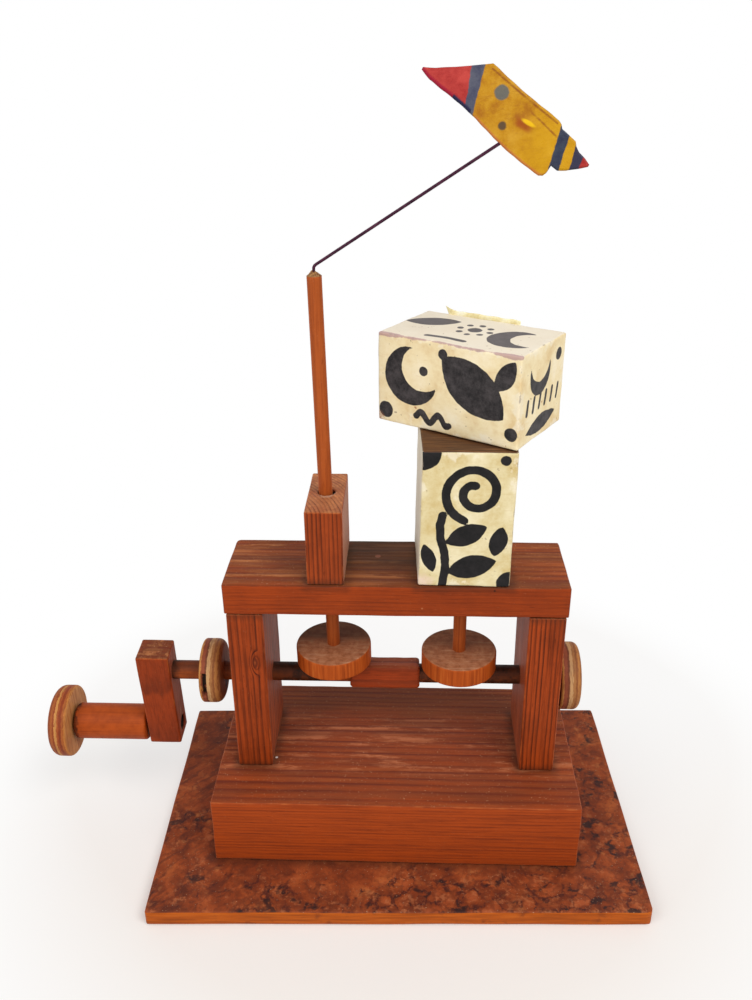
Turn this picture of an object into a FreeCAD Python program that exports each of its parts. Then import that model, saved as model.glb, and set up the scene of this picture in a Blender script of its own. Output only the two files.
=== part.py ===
import FreeCAD, Part
import math
import os

import Sketcher
from FreeCAD import Placement, Rotation, Vector

# A hand-cranked wooden automaton: a turning bird on a wire and a block-built dog whose
# head swivels, on a small frame over a base plate.  Millimetres and degrees.
# +X runs to the right along the crankshaft, +Y away from the front, +Z up.  The origin
# is the middle of the plinth in plan, on the underside of the base plate.

SIZES = {
    # base plate, glued on slightly askew
    "base_width": 240.0,
    "base_depth": 150.0,
    "base_thickness": 8.6,
    "base_forward": 1.5,
    "base_angle": 1.6,
    # plinth block
    "plinth_width": 179.2,
    "plinth_depth": 93.6,
    "plinth_height": 37.3,
    # frame: two uprights and a beam, set in from the plinth's ends and centred on the shaft
    "frame_inset": 9.4,
    "frame_centre": -0.4,
    "frame_setback": 2.1,
    "frame_depth": 44.7,
    "upright_thickness": 17.4,
    "upright_height": 90.4,
    "beam_thickness": 16.0,
    "beam_overhang": 0.9,
    # guide post for the bird's rod
    "post_width": 17.2,
    "post_depth": 43.0,
    "post_height": 37.2,
    "post_centre": -32.5,
    "guide_bore": 8.6,
    # dog: fixed body block and turning head block
    "body_width": 41.6,
    "body_depth": 42.8,
    "body_height": 66.8,
    "body_angle": -1.2,
    "dog_centre": 31.0,
    "head_length": 71.0,
    "head_width": 43.6,
    "head_height": 41.5,
    "head_angle": -31.9,
    "head_bore_forward": 6.8,
    "head_bore_side": 13.6,
    "head_bore_depth": 26.0,
    "head_gap": 0.4,
    "tape_length": 37.0,
    "tape_width": 9.0,
    "tape_thickness": 0.3,
    "tape_start": -24.0,
    "tape_stand": 1.6,
    # crankshaft and what is glued to it
    "shaft_height": 42.5,
    "shaft_diameter": 9.5,
    "block_lap": 10.8,
    "block_clearance": 0.7,
    "block_width": 12.5,
    "block_round": 3.0,
    "block_chamfer": 1.2,
    "block_angle": -8.0,
    "left_collar_gap": 7.7,
    "left_collar_diameter": 32.2,
    "right_collar_gap": 1.6,
    "right_collar_diameter": 33.6,
    "collar_thickness": 10.4,
    "arm_gap": 15.8,
    "arm_thickness": 16.6,
    "arm_width": 15.4,
    "arm_above": 13.4,
    "arm_tail": 7.8,
    "crank_throw": 37.0,
    "crank_angle": 5.8,
    # turning handle on its pin
    "pin_diameter": 8.6,
    "pin_recess": 1.8,
    "grip_diameter": 18.6,
    "grip_length": 38.0,
    "grip_play": 1.2,
    "end_disc_diameter": 37.0,
    "end_disc_thickness": 10.4,
    "ply_round": 2.0,
    # follower discs and their rods
    "follower_diameter": 37.2,
    "follower_thickness": 10.0,
    "follower_round": 0.9,
    "follower_clearance": 0.3,
    "rod_diameter": 6.4,
    "rod_angle": 1.0,
    "bird_rod_tip": 290.3,
    "tip_length": 6.0,
    "tip_diameter": 3.2,
    # wire and painted bird
    "wire_diameter": 1.3,
    "wire_socket": 9.0,
    "wire_stem": 2.5,
    "wire_bend": 2.2,
    "wire_length": 100.0,
    "wire_angle": 32.5,
    "bird_length": 74.6,
    "bird_thickness": 3.0,
    "bird_pitch_angle": 61.0,
    "bird_twist_angle": -15.0,
    # fits and worn edges
    "running_fit": 0.06,
    "glue_gap": 0.03,
    "edge_wear": 0.7,
}

# Levels and reaches that follow from the sizes.
LEVELS = {
    "beam_length": "Sizes.plinth_width - 2 * Sizes.frame_inset",
    "frame_reach": "beam_length / 2 - Sizes.beam_overhang",
    "frame_left": "Sizes.frame_centre - frame_reach",
    "frame_right": "Sizes.frame_centre + frame_reach",
    "upright_offset": "frame_reach - Sizes.upright_thickness / 2",
    "plinth_top": "Sizes.base_thickness + Sizes.plinth_height",
    "beam_bottom": "plinth_top + Sizes.upright_height",
    "beam_top": "beam_bottom + Sizes.beam_thickness",
    "post_top": "beam_top + Sizes.post_height",
    "body_top": "beam_top + Sizes.body_height",
    "head_bottom": "body_top + Sizes.head_gap",
    "shaft_level": "plinth_top + Sizes.shaft_height",
    "block_reach": "(Sizes.block_width / 2 - Sizes.block_round) * sqrt(2) + Sizes.block_round",
    "bird_disc_level": "shaft_level + block_reach + Sizes.follower_clearance",
    "head_disc_level": "shaft_level + Sizes.shaft_diameter / 2 + Sizes.follower_clearance",
    "guide_middle": "(beam_bottom + post_top) / 2",
    "guide_drop": "guide_middle - bird_disc_level",
    "bird_disc_centre": "Sizes.post_centre + guide_drop * tan(Sizes.rod_angle * 1 deg)",
    "bird_rod_length": "(Sizes.bird_rod_tip - bird_disc_level) / cos(Sizes.rod_angle * 1 deg)",
    "block_start": "bird_disc_centre + Sizes.follower_diameter / 2 - Sizes.block_lap",
    "block_end": "Sizes.dog_centre - Sizes.follower_diameter / 2 - Sizes.block_clearance",
    "left_collar_start": "frame_left - Sizes.left_collar_gap - Sizes.collar_thickness",
    "right_collar_start": "frame_right + Sizes.right_collar_gap",
    "shaft_end": "right_collar_start + Sizes.collar_thickness",
    "arm_face": "left_collar_start - Sizes.arm_gap",
    "arm_start": "arm_face - Sizes.arm_thickness",
    "arm_below": "Sizes.crank_throw + Sizes.arm_tail",
    "grip_start": "arm_start - Sizes.grip_play - Sizes.grip_length",
    "end_disc_start": "grip_start - Sizes.grip_play - Sizes.end_disc_thickness",
    "pin_end": "arm_face - Sizes.pin_recess",
    "pin_setback": "Sizes.frame_setback + Sizes.crank_throw * sin(Sizes.crank_angle * 1 deg)",
    "pin_level": "shaft_level - Sizes.crank_throw * cos(Sizes.crank_angle * 1 deg)",
}

# The painted bird's outline in its own plane, as shares of its length: (along the body
# towards the tail, across it towards the back), from the end of the wire's hole.
BIRD_OUTLINE = [
    (-0.6193, -0.0134),  # beak
    (-0.3539, 0.1461),  # crown
    (-0.3056, 0.1756),  # nape
    (0.1340, 0.1005),  # rump
    (0.1890, 0.0710),
    (0.2601, 0.0523),
    (0.2708, 0.0349),
    (0.3807, -0.0134),  # tail tip
    (0.2520, -0.1099),
    (0.1984, -0.1046),  # notch below the tail
    (0.2131, -0.1515),
    (0.1796, -0.1796),
    (0.1555, -0.1756),
    (-0.0697, -0.1421),  # belly, where the wire goes in
    (-0.3231, -0.0751),
    (-0.4209, -0.0590),  # throat
]

X, Y, Z = Vector(1, 0, 0), Vector(0, 1, 0), Vector(0, 0, 1)

doc = FreeCAD.newDocument("crank_automaton")


def fill_sheet(name, cells, lead=""):
    """A spreadsheet with one aliased cell for each entry."""
    sheet = doc.addObject("Spreadsheet::Sheet", name)
    for row, (alias, content) in enumerate(cells.items(), start=1):
        sheet.set(f"A{row}", alias)
        sheet.set(f"B{row}", lead + str(content))
        sheet.setAlias(f"B{row}", alias)
    doc.recompute()


fill_sheet("Sizes", SIZES)
fill_sheet("Levels", LEVELS, lead="=")


def size(name):
    """The value of a size or level, for shapes that Part's functions make."""
    sheet = doc.Sizes if name in SIZES else doc.Levels
    return float(sheet.get(name))


def place(item, x="0", y="0", z="0", turn_axis=None, angle="0"):
    """Binds where a piece stands, and how far it's turned about one axis."""
    if turn_axis is not None:
        item.Placement.Rotation = Rotation(turn_axis, 1)
        item.setExpression(".Placement.Rotation.Angle", f"({angle}) * 1 deg")
    for letter, formula in (("x", x), ("y", y), ("z", z)):
        item.setExpression(f".Placement.Base.{letter}", formula)


def new_body(label):
    """An empty PartDesign body."""
    body = doc.addObject("PartDesign::Body", label)
    body.Label = label
    return body


def new_sketch(body, plane):
    """A sketch on one of the body's own origin planes: XY, XZ or YZ."""
    sketch = body.newObject("Sketcher::SketchObject", f"{body.Name}_sketch")
    features = body.Origin.OriginFeatures
    sketch.AttachmentSupport = [(next(f for f in features if f.Role == f"{plane}_Plane"), "")]
    sketch.MapMode = "FlatFace"
    return sketch


def bind(sketch, kind, name, formula, *where):
    """Adds one named constraint to the sketch and binds it to a formula."""
    index = sketch.addConstraint(Sketcher.Constraint(kind, *where, 1.0))
    sketch.renameConstraint(index, name)
    sketch.setExpression(f"Constraints.{name}", formula)


def rectangle(body, plane, low_x, high_x, low_y, high_y):
    """A sketched rectangle whose sides lie at the given distances either way of the origin."""
    sketch = new_sketch(body, plane)
    corners = [Vector(-1, -1, 0), Vector(1, -1, 0), Vector(1, 1, 0), Vector(-1, 1, 0)]
    for i in range(4):
        sketch.addGeometry(Part.LineSegment(corners[i], corners[(i + 1) % 4]))
    for i in range(4):
        sketch.addConstraint(Sketcher.Constraint("Coincident", i, 2, (i + 1) % 4, 1))
    for i, kind in enumerate(("Horizontal", "Vertical", "Horizontal", "Vertical")):
        sketch.addConstraint(Sketcher.Constraint(kind, i))
    bind(sketch, "DistanceX", "left", low_x, 0, 1, -1, 1)
    bind(sketch, "DistanceX", "right", high_x, -1, 1, 2, 1)
    bind(sketch, "DistanceY", "below", low_y, 0, 1, -1, 1)
    bind(sketch, "DistanceY", "above", high_y, -1, 1, 2, 1)
    return sketch


def circle(body, plane, diameter, across="0", up="0"):
    """A sketched circle at a place in the plane."""
    sketch = new_sketch(body, plane)
    sketch.addGeometry(Part.Circle(Vector(1, 1, 0), Vector(0, 0, 1), 1))
    bind(sketch, "Diameter", "bore", diameter, 0)
    bind(sketch, "DistanceX", "across", across, -1, 1, 0, 3)
    bind(sketch, "DistanceY", "up", up, -1, 1, 0, 3)
    return sketch


def pad(body, sketch, length):
    """Pads the sketch along its plane's +X, -Y or +Z normal."""
    feature = body.newObject("PartDesign::Pad", f"{body.Name}_pad")
    feature.Profile = sketch
    feature.setExpression("Length", length)
    doc.recompute()
    return feature


def bore(body, sketch, depth=None):
    """Cuts the sketch through the body, or to a depth along the plane's normal."""
    feature = body.newObject("PartDesign::Pocket", f"{body.Name}_bore")
    feature.Profile = sketch
    if depth is None:
        feature.Type = "ThroughAll"
        feature.SideType = "Symmetric"
    else:
        feature.Reversed = True
        feature.setExpression("Length", depth)
    doc.recompute()
    return feature


def edges_where(shape, wanted):
    """The names of the shape's edges that a test picks."""
    return [f"Edge{i}" for i, edge in enumerate(shape.Edges, start=1) if wanted(edge)]


def soften(body, base, width, wanted=lambda edge: True, kind="Fillet"):
    """Rounds or bevels a feature's edges, all or those that a test picks."""
    feature = body.newObject(f"PartDesign::{kind}", f"{body.Name}_{kind.lower()}")
    feature.Base = (base, edges_where(base.Shape, wanted))
    feature.setExpression("Radius" if kind == "Fillet" else "Size", width)
    doc.recompute()
    return feature


def block(label, width, depth, height):
    """A sawn block, centred in plan on its own origin and standing on it, edges worn."""
    body = new_body(label)
    half_width, half_depth = f"({width}) / 2", f"({depth}) / 2"
    profile = rectangle(body, "XY", half_width, half_width, half_depth, half_depth)
    soften(body, pad(body, profile, height), "Sizes.edge_wear")
    return body


def disc(label, plane, diameter, thickness, hole, rim):
    """A bored disc, its rim rounded, lying against its own origin along the normal."""
    body = new_body(label)
    slab = pad(body, circle(body, plane, diameter), thickness)
    soften(body, slab, rim, lambda edge: isinstance(edge.Curve, Part.Circle))
    bore(body, circle(body, plane, hole))
    return body


def dowel(label, diameter, length):
    """A plain round rod along its own +Z."""
    rod = doc.addObject("Part::Cylinder", label)
    rod.Label = label
    rod.setExpression("Radius", f"({diameter}) / 2")
    rod.setExpression("Height", length)
    return rod


FIT = "2 * Sizes.running_fit"
GLUE = "2 * Sizes.glue_gap"


def make_stand():
    """Base plate and plinth."""
    base = block("base_plate", "Sizes.base_width", "Sizes.base_depth", "Sizes.base_thickness")
    place(base, y="-Sizes.base_forward", turn_axis=Z, angle="Sizes.base_angle")
    plinth = block("plinth_block", "Sizes.plinth_width", "Sizes.plinth_depth", "Sizes.plinth_height")
    place(plinth, z="Sizes.base_thickness")


def make_uprights():
    """The two uprights, each bored for the shaft."""
    for label, sign in (("left_upright", "-"), ("right_upright", "+")):
        upright = block(label, "Sizes.upright_thickness", "Sizes.frame_depth", "Sizes.upright_height")
        shaft_hole = circle(upright, "YZ", f"Sizes.shaft_diameter + {FIT}", up="Sizes.shaft_height")
        bore(upright, shaft_hole)
        centre = f"Sizes.frame_centre {sign} Levels.upright_offset"
        place(upright, centre, "Sizes.frame_setback", "Levels.plinth_top")


def make_beam():
    """The beam, bored for both rods."""
    beam = block("top_beam", "Levels.beam_length", "Sizes.frame_depth", "Sizes.beam_thickness")
    bore(beam, circle(beam, "XY", "Sizes.guide_bore", across="Sizes.post_centre - Sizes.frame_centre"))
    neck_hole = f"Sizes.rod_diameter + {FIT}"
    bore(beam, circle(beam, "XY", neck_hole, across="Sizes.dog_centre - Sizes.frame_centre"))
    place(beam, "Sizes.frame_centre", "Sizes.frame_setback", "Levels.beam_bottom")


def make_post():
    """The bird's guide post, bored loose for its rod."""
    post = block("guide_post", "Sizes.post_width", "Sizes.post_depth", "Sizes.post_height")
    bore(post, circle(post, "XY", "Sizes.guide_bore"))
    place(post, "Sizes.post_centre", "Sizes.frame_setback", "Levels.beam_top")


def make_dog():
    """The dog's fixed body, its turning head, and the tape along the head's back edge."""
    torso = block("body_block", "Sizes.body_width", "Sizes.body_depth", "Sizes.body_height")
    bore(torso, circle(torso, "XY", f"Sizes.rod_diameter + {FIT}"))
    place(torso, "Sizes.dog_centre", "Sizes.frame_setback", "Levels.beam_top", Z, "Sizes.body_angle")

    head = new_body("head_block")
    rear = "Sizes.head_length / 2 + Sizes.head_bore_forward"
    front = "Sizes.head_length / 2 - Sizes.head_bore_forward"
    near = "Sizes.head_width / 2 - Sizes.head_bore_side"
    far = "Sizes.head_width / 2 + Sizes.head_bore_side"
    slab = pad(head, rectangle(head, "XY", rear, front, near, far), "Sizes.head_height")
    soften(head, slab, "Sizes.edge_wear")
    bore(head, circle(head, "XY", f"Sizes.rod_diameter + {FIT}"), "Sizes.head_bore_depth")
    place(head, "Sizes.dog_centre", "Sizes.frame_setback", "Levels.head_bottom", Z, "Sizes.head_angle")

    tape = doc.addObject("Part::Box", "tape_strip")
    tape.Label = "tape_strip"
    tape.setExpression("Length", "Sizes.tape_length")
    tape.setExpression("Width", "Sizes.tape_thickness")
    tape.setExpression("Height", "Sizes.tape_width")
    # it stands against the far long face, so its near lower corner is led round the turn
    turn = "Sizes.head_angle * 1 deg"
    along = "(Sizes.tape_start - Sizes.head_bore_forward)"
    back = f"({far})"
    place(
        tape,
        f"Sizes.dog_centre + {along} * cos({turn}) - {back} * sin({turn})",
        f"Sizes.frame_setback + {along} * sin({turn}) + {back} * cos({turn})",
        "Levels.head_bottom + Sizes.head_height + Sizes.tape_stand - Sizes.tape_width",
        Z,
        "Sizes.head_angle",
    )


def on_shaft(piece, start, angle="0"):
    """Places a piece that turns with the shaft."""
    place(piece, start, "Sizes.frame_setback", "Levels.shaft_level", X, angle)


def on_pin(piece, start):
    """Places a piece centred on the handle's pin."""
    place(piece, start, "Levels.pin_setback", "Levels.pin_level", X, "Sizes.crank_angle")


def lay_along_x(rod, start, y, z):
    """Lays a dowel along +X from a starting point."""
    rod.Placement.Rotation = Rotation(Z, X)
    place(rod, start, y, z)


def runs_along_x(edge):
    """Whether an edge lies along X, rather than in a face square to it."""
    return edge.BoundBox.XLength > edge.Length / 2


def make_crankshaft():
    """The shaft with its collars and the square block that drives the bird's disc."""
    shaft_length = "Levels.shaft_end - Levels.arm_start"
    shaft = dowel("crank_shaft", "Sizes.shaft_diameter", shaft_length)
    lay_along_x(shaft, "Levels.arm_start", "Sizes.frame_setback", "Levels.shaft_level")
    glued_bore = f"Sizes.shaft_diameter + {GLUE}"

    drive = new_body("drive_block")
    half = "Sizes.block_width / 2"
    profile = rectangle(drive, "YZ", half, half, half, half)
    bar = pad(drive, profile, "Levels.block_end - Levels.block_start")
    rounded = soften(drive, bar, "Sizes.block_round", runs_along_x)
    soften(drive, rounded, "Sizes.block_chamfer", lambda edge: not runs_along_x(edge), "Chamfer")
    bore(drive, circle(drive, "YZ", glued_bore))
    on_shaft(drive, "Levels.block_start", "Sizes.block_angle")

    for side, start in (("left", "Levels.left_collar_start"), ("right", "Levels.right_collar_start")):
        collar = disc(
            f"{side}_collar",
            "YZ",
            f"Sizes.{side}_collar_diameter",
            "Sizes.collar_thickness",
            glued_bore,
            "Sizes.ply_round",
        )
        on_shaft(collar, start)


def make_crank():
    """The crank arm, its pin, the turning grip and the disc that keeps the grip on."""
    arm = new_body("crank_arm")
    half = "Sizes.arm_width / 2"
    profile = rectangle(arm, "YZ", half, half, "Levels.arm_below", "Sizes.arm_above")
    soften(arm, pad(arm, profile, "Sizes.arm_thickness"), "Sizes.edge_wear")
    bore(arm, circle(arm, "YZ", f"Sizes.shaft_diameter + {GLUE}"))
    bore(arm, circle(arm, "YZ", f"Sizes.pin_diameter + {GLUE}", up="-Sizes.crank_throw"))
    on_shaft(arm, "Levels.arm_start", "Sizes.crank_angle")

    pin = dowel("handle_pin", "Sizes.pin_diameter", "Levels.pin_end - Levels.end_disc_start")
    lay_along_x(pin, "Levels.end_disc_start", "Levels.pin_setback", "Levels.pin_level")

    grip = disc(
        "handle_grip",
        "YZ",
        "Sizes.grip_diameter",
        "Sizes.grip_length",
        f"Sizes.pin_diameter + {FIT}",
        "Sizes.edge_wear",
    )
    on_pin(grip, "Levels.grip_start")

    stop = disc(
        "handle_end_disc",
        "YZ",
        "Sizes.end_disc_diameter",
        "Sizes.end_disc_thickness",
        f"Sizes.pin_diameter + {GLUE}",
        "Sizes.ply_round",
    )
    on_pin(stop, "Levels.end_disc_start")


def lean_on_disc(piece):
    """Places a piece on the bird rod's leaning line, from the underside of its disc."""
    foot = ("Levels.bird_disc_centre", "Sizes.frame_setback", "Levels.bird_disc_level")
    place(piece, *foot, Y, "-Sizes.rod_angle")


def make_followers():
    """The two discs that ride on the shaft, each bored for its rod."""
    for name in ("bird", "head"):
        follower = disc(
            f"{name}_follower_disc",
            "XY",
            "Sizes.follower_diameter",
            "Sizes.follower_thickness",
            f"Sizes.rod_diameter + {FIT}",
            "Sizes.follower_round",
        )
        if name == "bird":
            lean_on_disc(follower)
        else:
            place(follower, "Sizes.dog_centre", "Sizes.frame_setback", "Levels.head_disc_level")


def make_rods():
    """The dog's neck rod, and the bird's leaning rod with its whittled tip."""
    neck_length = "Levels.head_bottom + Sizes.head_bore_depth - Sizes.running_fit - Levels.head_disc_level"
    neck = dowel("head_rod", "Sizes.rod_diameter", neck_length)
    place(neck, "Sizes.dog_centre", "Sizes.frame_setback", "Levels.head_disc_level")

    plain = dowel("bird_rod_shank", "Sizes.rod_diameter", "Levels.bird_rod_length - Sizes.tip_length")
    tip = doc.addObject("Part::Cone", "bird_rod_tip")
    tip.setExpression("Radius1", "Sizes.rod_diameter / 2")
    tip.setExpression("Radius2", "Sizes.tip_diameter / 2")
    tip.setExpression("Height", "Sizes.tip_length")
    place(tip, z="Levels.bird_rod_length - Sizes.tip_length")
    whole = doc.addObject("Part::Fuse", "bird_rod_whole")
    whole.Base, whole.Tool = plain, tip
    socket = dowel("bird_rod_socket", f"Sizes.wire_diameter + {FIT}", "2 * Sizes.wire_socket")
    place(socket, z="Levels.bird_rod_length - Sizes.wire_socket")
    rod = doc.addObject("Part::Cut", "bird_rod")
    rod.Base, rod.Tool = whole, socket
    rod.Label = "bird_rod"
    lean_on_disc(rod)


def rod_axis():
    """The bird rod's direction."""
    return Rotation(Y, -size("rod_angle")).multVec(Z)


def wire_axis():
    """The direction of the wire's long straight run."""
    return Rotation(Y, -size("wire_angle")).multVec(X)


def wire_corner():
    """Where the wire's two runs would meet, just above the rod's tip."""
    foot = Vector(size("bird_disc_centre"), size("frame_setback"), size("bird_disc_level"))
    return foot + rod_axis() * (size("bird_rod_length") + size("wire_stem"))


def make_wire():
    """The wire from the rod's tip to the bird, with one bend."""
    corner, up, out = wire_corner(), rod_axis(), wire_axis()
    turn = up.getAngle(out)
    set_back = size("wire_bend") * math.tan(turn / 2)
    start = corner - up * (size("wire_stem") + size("wire_socket") - size("running_fit"))
    before, after = corner - up * set_back, corner + out * set_back
    inward = (out - up).normalize()
    middle = corner + inward * size("wire_bend") * (1 / math.cos(turn / 2) - 1)
    end = corner + out * size("wire_length")
    path = Part.Wire([
        Part.LineSegment(start, before).toShape(),
        Part.Arc(before, middle, after).toShape(),
        Part.LineSegment(after, end).toShape(),
    ])
    section = Part.Wire(Part.Circle(start, up, size("wire_diameter") / 2).toShape())
    wire = doc.addObject("Part::Feature", "bird_wire")
    wire.Label = "bird_wire"
    wire.Shape = path.makePipeShell([section], True, True)


def bird_placement():
    """The painted bird's plane: hung on the wire, pitched beak up and twisted about it."""
    slope, twist = Rotation(Y, -size("wire_angle")), Rotation(X, size("bird_twist_angle"))
    turn = slope * twist * Rotation(Y, size("bird_pitch_angle"))
    return Placement(wire_corner() + wire_axis() * size("wire_length"), turn)


def make_bird():
    """The flat bird, drilled from its belly edge for the wire's end."""
    length, half = size("bird_length"), size("bird_thickness") / 2
    corners = [Vector(along * length, -half, across * length) for along, across in BIRD_OUTLINE]
    plank = Part.Face(Part.makePolygon(corners + corners[:1])).extrude(Vector(0, 2 * half, 0))
    into_edge = Rotation(Y, size("bird_pitch_angle")).inverted().multVec(X)
    hole_radius = size("wire_diameter") / 2 + size("glue_gap")
    hole = Part.makeCylinder(hole_radius, size("wire_length") / 2, Vector(0, 0, 0), into_edge * -1)
    bird = doc.addObject("Part::Feature", "painted_bird")
    bird.Label = "painted_bird"
    bird.Shape = plank.cut(hole)
    bird.Placement = bird_placement()


NODES = [
    "base_plate",
    "plinth_block",
    "left_upright",
    "right_upright",
    "top_beam",
    "guide_post",
    "body_block",
    "head_block",
    "tape_strip",
    "crank_shaft",
    "drive_block",
    "left_collar",
    "right_collar",
    "crank_arm",
    "handle_pin",
    "handle_grip",
    "handle_end_disc",
    "bird_follower_disc",
    "head_follower_disc",
    "bird_rod",
    "head_rod",
    "bird_wire",
    "painted_bird",
]


def check_and_export():
    """Stops on anything that failed to build, then writes one STEP file per node."""
    doc.recompute()
    for item in doc.Objects:
        if {"Invalid", "Error"} & set(item.State):
            raise RuntimeError(f"{item.Label} did not build: {item.State}")
    os.makedirs("parts", exist_ok=True)
    for node in NODES:
        shape = doc.getObjectsByLabel(node)[0].Shape
        if shape.isNull() or not shape.isValid() or len(shape.Solids) != 1:
            raise RuntimeError(f"{node} is not one valid solid")
        shape.exportStep(f"parts/{node}.step")
        box = shape.BoundBox
        extents = ((box.XMin, box.XMax), (box.YMin, box.YMax), (box.ZMin, box.ZMax))
        reach = " ".join(f"{low:7.1f} to {high:6.1f}" for low, high in extents)
        print(f"{node:20s} {shape.Volume:10.1f} mm3  {reach}")


make_stand()
make_uprights()
make_beam()
make_post()
make_dog()
make_crankshaft()
make_crank()
make_followers()
make_rods()
make_wire()
make_bird()
check_and_export()
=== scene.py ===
import math

import bpy
import numpy as np
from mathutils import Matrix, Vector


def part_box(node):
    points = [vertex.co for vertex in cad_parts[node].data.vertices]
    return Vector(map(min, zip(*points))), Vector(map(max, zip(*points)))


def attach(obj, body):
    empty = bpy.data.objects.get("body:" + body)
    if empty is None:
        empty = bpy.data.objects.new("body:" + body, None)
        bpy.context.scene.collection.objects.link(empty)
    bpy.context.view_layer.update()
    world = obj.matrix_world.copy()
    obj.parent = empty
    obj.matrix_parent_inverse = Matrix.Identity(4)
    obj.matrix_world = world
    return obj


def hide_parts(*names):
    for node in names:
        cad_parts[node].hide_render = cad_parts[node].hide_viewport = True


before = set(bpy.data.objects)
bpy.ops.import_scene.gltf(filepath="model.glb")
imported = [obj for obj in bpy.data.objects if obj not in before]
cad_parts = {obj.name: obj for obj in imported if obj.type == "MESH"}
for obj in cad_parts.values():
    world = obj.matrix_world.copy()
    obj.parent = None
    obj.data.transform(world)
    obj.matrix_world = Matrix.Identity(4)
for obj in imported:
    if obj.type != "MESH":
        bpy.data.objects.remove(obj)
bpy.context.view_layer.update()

# Stage: the camera stands a little above the object and looks down at it. The floor is a plain pale sheet,
# the world an even white, and two large soft lamps hang high in front and to the side.
MM = 0.001
scene = bpy.context.scene
scene.view_settings.view_transform = "Standard"

camera_data = bpy.data.cameras.new("camera")
camera_data.sensor_width = 36.0
camera_data.lens = 33.978
camera_data.clip_end = 20.0
camera = bpy.data.objects.new("camera", camera_data)
camera.location = (0.00550, -0.38966, 0.37631)
camera.rotation_euler = tuple(math.radians(angle) for angle in (64.05, 0.44, 2.017))
scene.collection.objects.link(camera)
scene.camera = camera


def colour(red, green, blue):
    """A colour written as 0 to 255 screen values, turned to the linear values that the shaders take."""
    screen = np.array([red, green, blue]) / 255.0
    linear = np.where(screen <= 0.04045, screen / 12.92, ((screen + 0.055) / 1.055) ** 2.4)
    return (*linear.tolist(), 1.0)


class Nodes:
    """The nodes of a material or a world, and short calls that add them and join them up."""

    def __init__(self, name, owners):
        self.owner = owners.new(name)
        self.owner.use_nodes = True
        self.tree = self.owner.node_tree

    def put(self, socket, value):
        """Joins a socket to an output or sets its value, a colour in screen values."""
        if isinstance(value, bpy.types.NodeSocket):
            self.tree.links.new(value, socket)
        elif socket.type == "RGBA":
            socket.default_value = colour(*value)
        else:
            socket.default_value = value

    def node(self, kind, *values, **settings):
        """Adds a node with its settings and puts the values into its first inputs in turn."""
        made = self.tree.nodes.new(kind)
        for setting, value in settings.items():
            setattr(made, setting, value)
        for socket, value in zip(made.inputs, values):
            self.put(socket, value)
        return made

    def math(self, kind, first, second=0.0, third=0.0):
        return self.node("ShaderNodeMath", first, second, third, operation=kind).outputs[0]

    def steps(self, value, low, high, start=0.0, end=1.0, smooth=True):
        """Start below low, end above high, and a smooth or straight change between."""
        kind = "SMOOTHSTEP" if smooth else "LINEAR"
        return self.node("ShaderNodeMapRange", value, low, high, start, end,
                         interpolation_type=kind).outputs[0]

    def times(self, *values):
        """The product of the values. A tuple among them stands for a call of steps with what it holds."""
        first, *others = (self.steps(*value) if isinstance(value, tuple) else value for value in values)
        for other in others:
            first = self.math("MULTIPLY", first, other)
        return first

    def plus(self, first, *others):
        for other in others:
            first = self.math("ADD", first, other)
        return first

    def seen(self):
        """1 for rays from the camera and for those that mirrors and glass send on."""
        ray = self.node("ShaderNodeLightPath").outputs
        share = self.math("MAXIMUM", ray["Is Camera Ray"], ray["Is Glossy Ray"])
        return self.math("MAXIMUM", share, ray["Is Transmission Ray"])

    def show_white(self, share, usual, white_kind, output):
        """Shows pure white in place of the usual shader where share is 1."""
        white = self.node(white_kind, (255, 255, 255), 1.0)
        either = self.node("ShaderNodeMixShader", share, usual, white.outputs[0])
        self.put(self.tree.nodes[output].inputs["Surface"], either.outputs[0])


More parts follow.
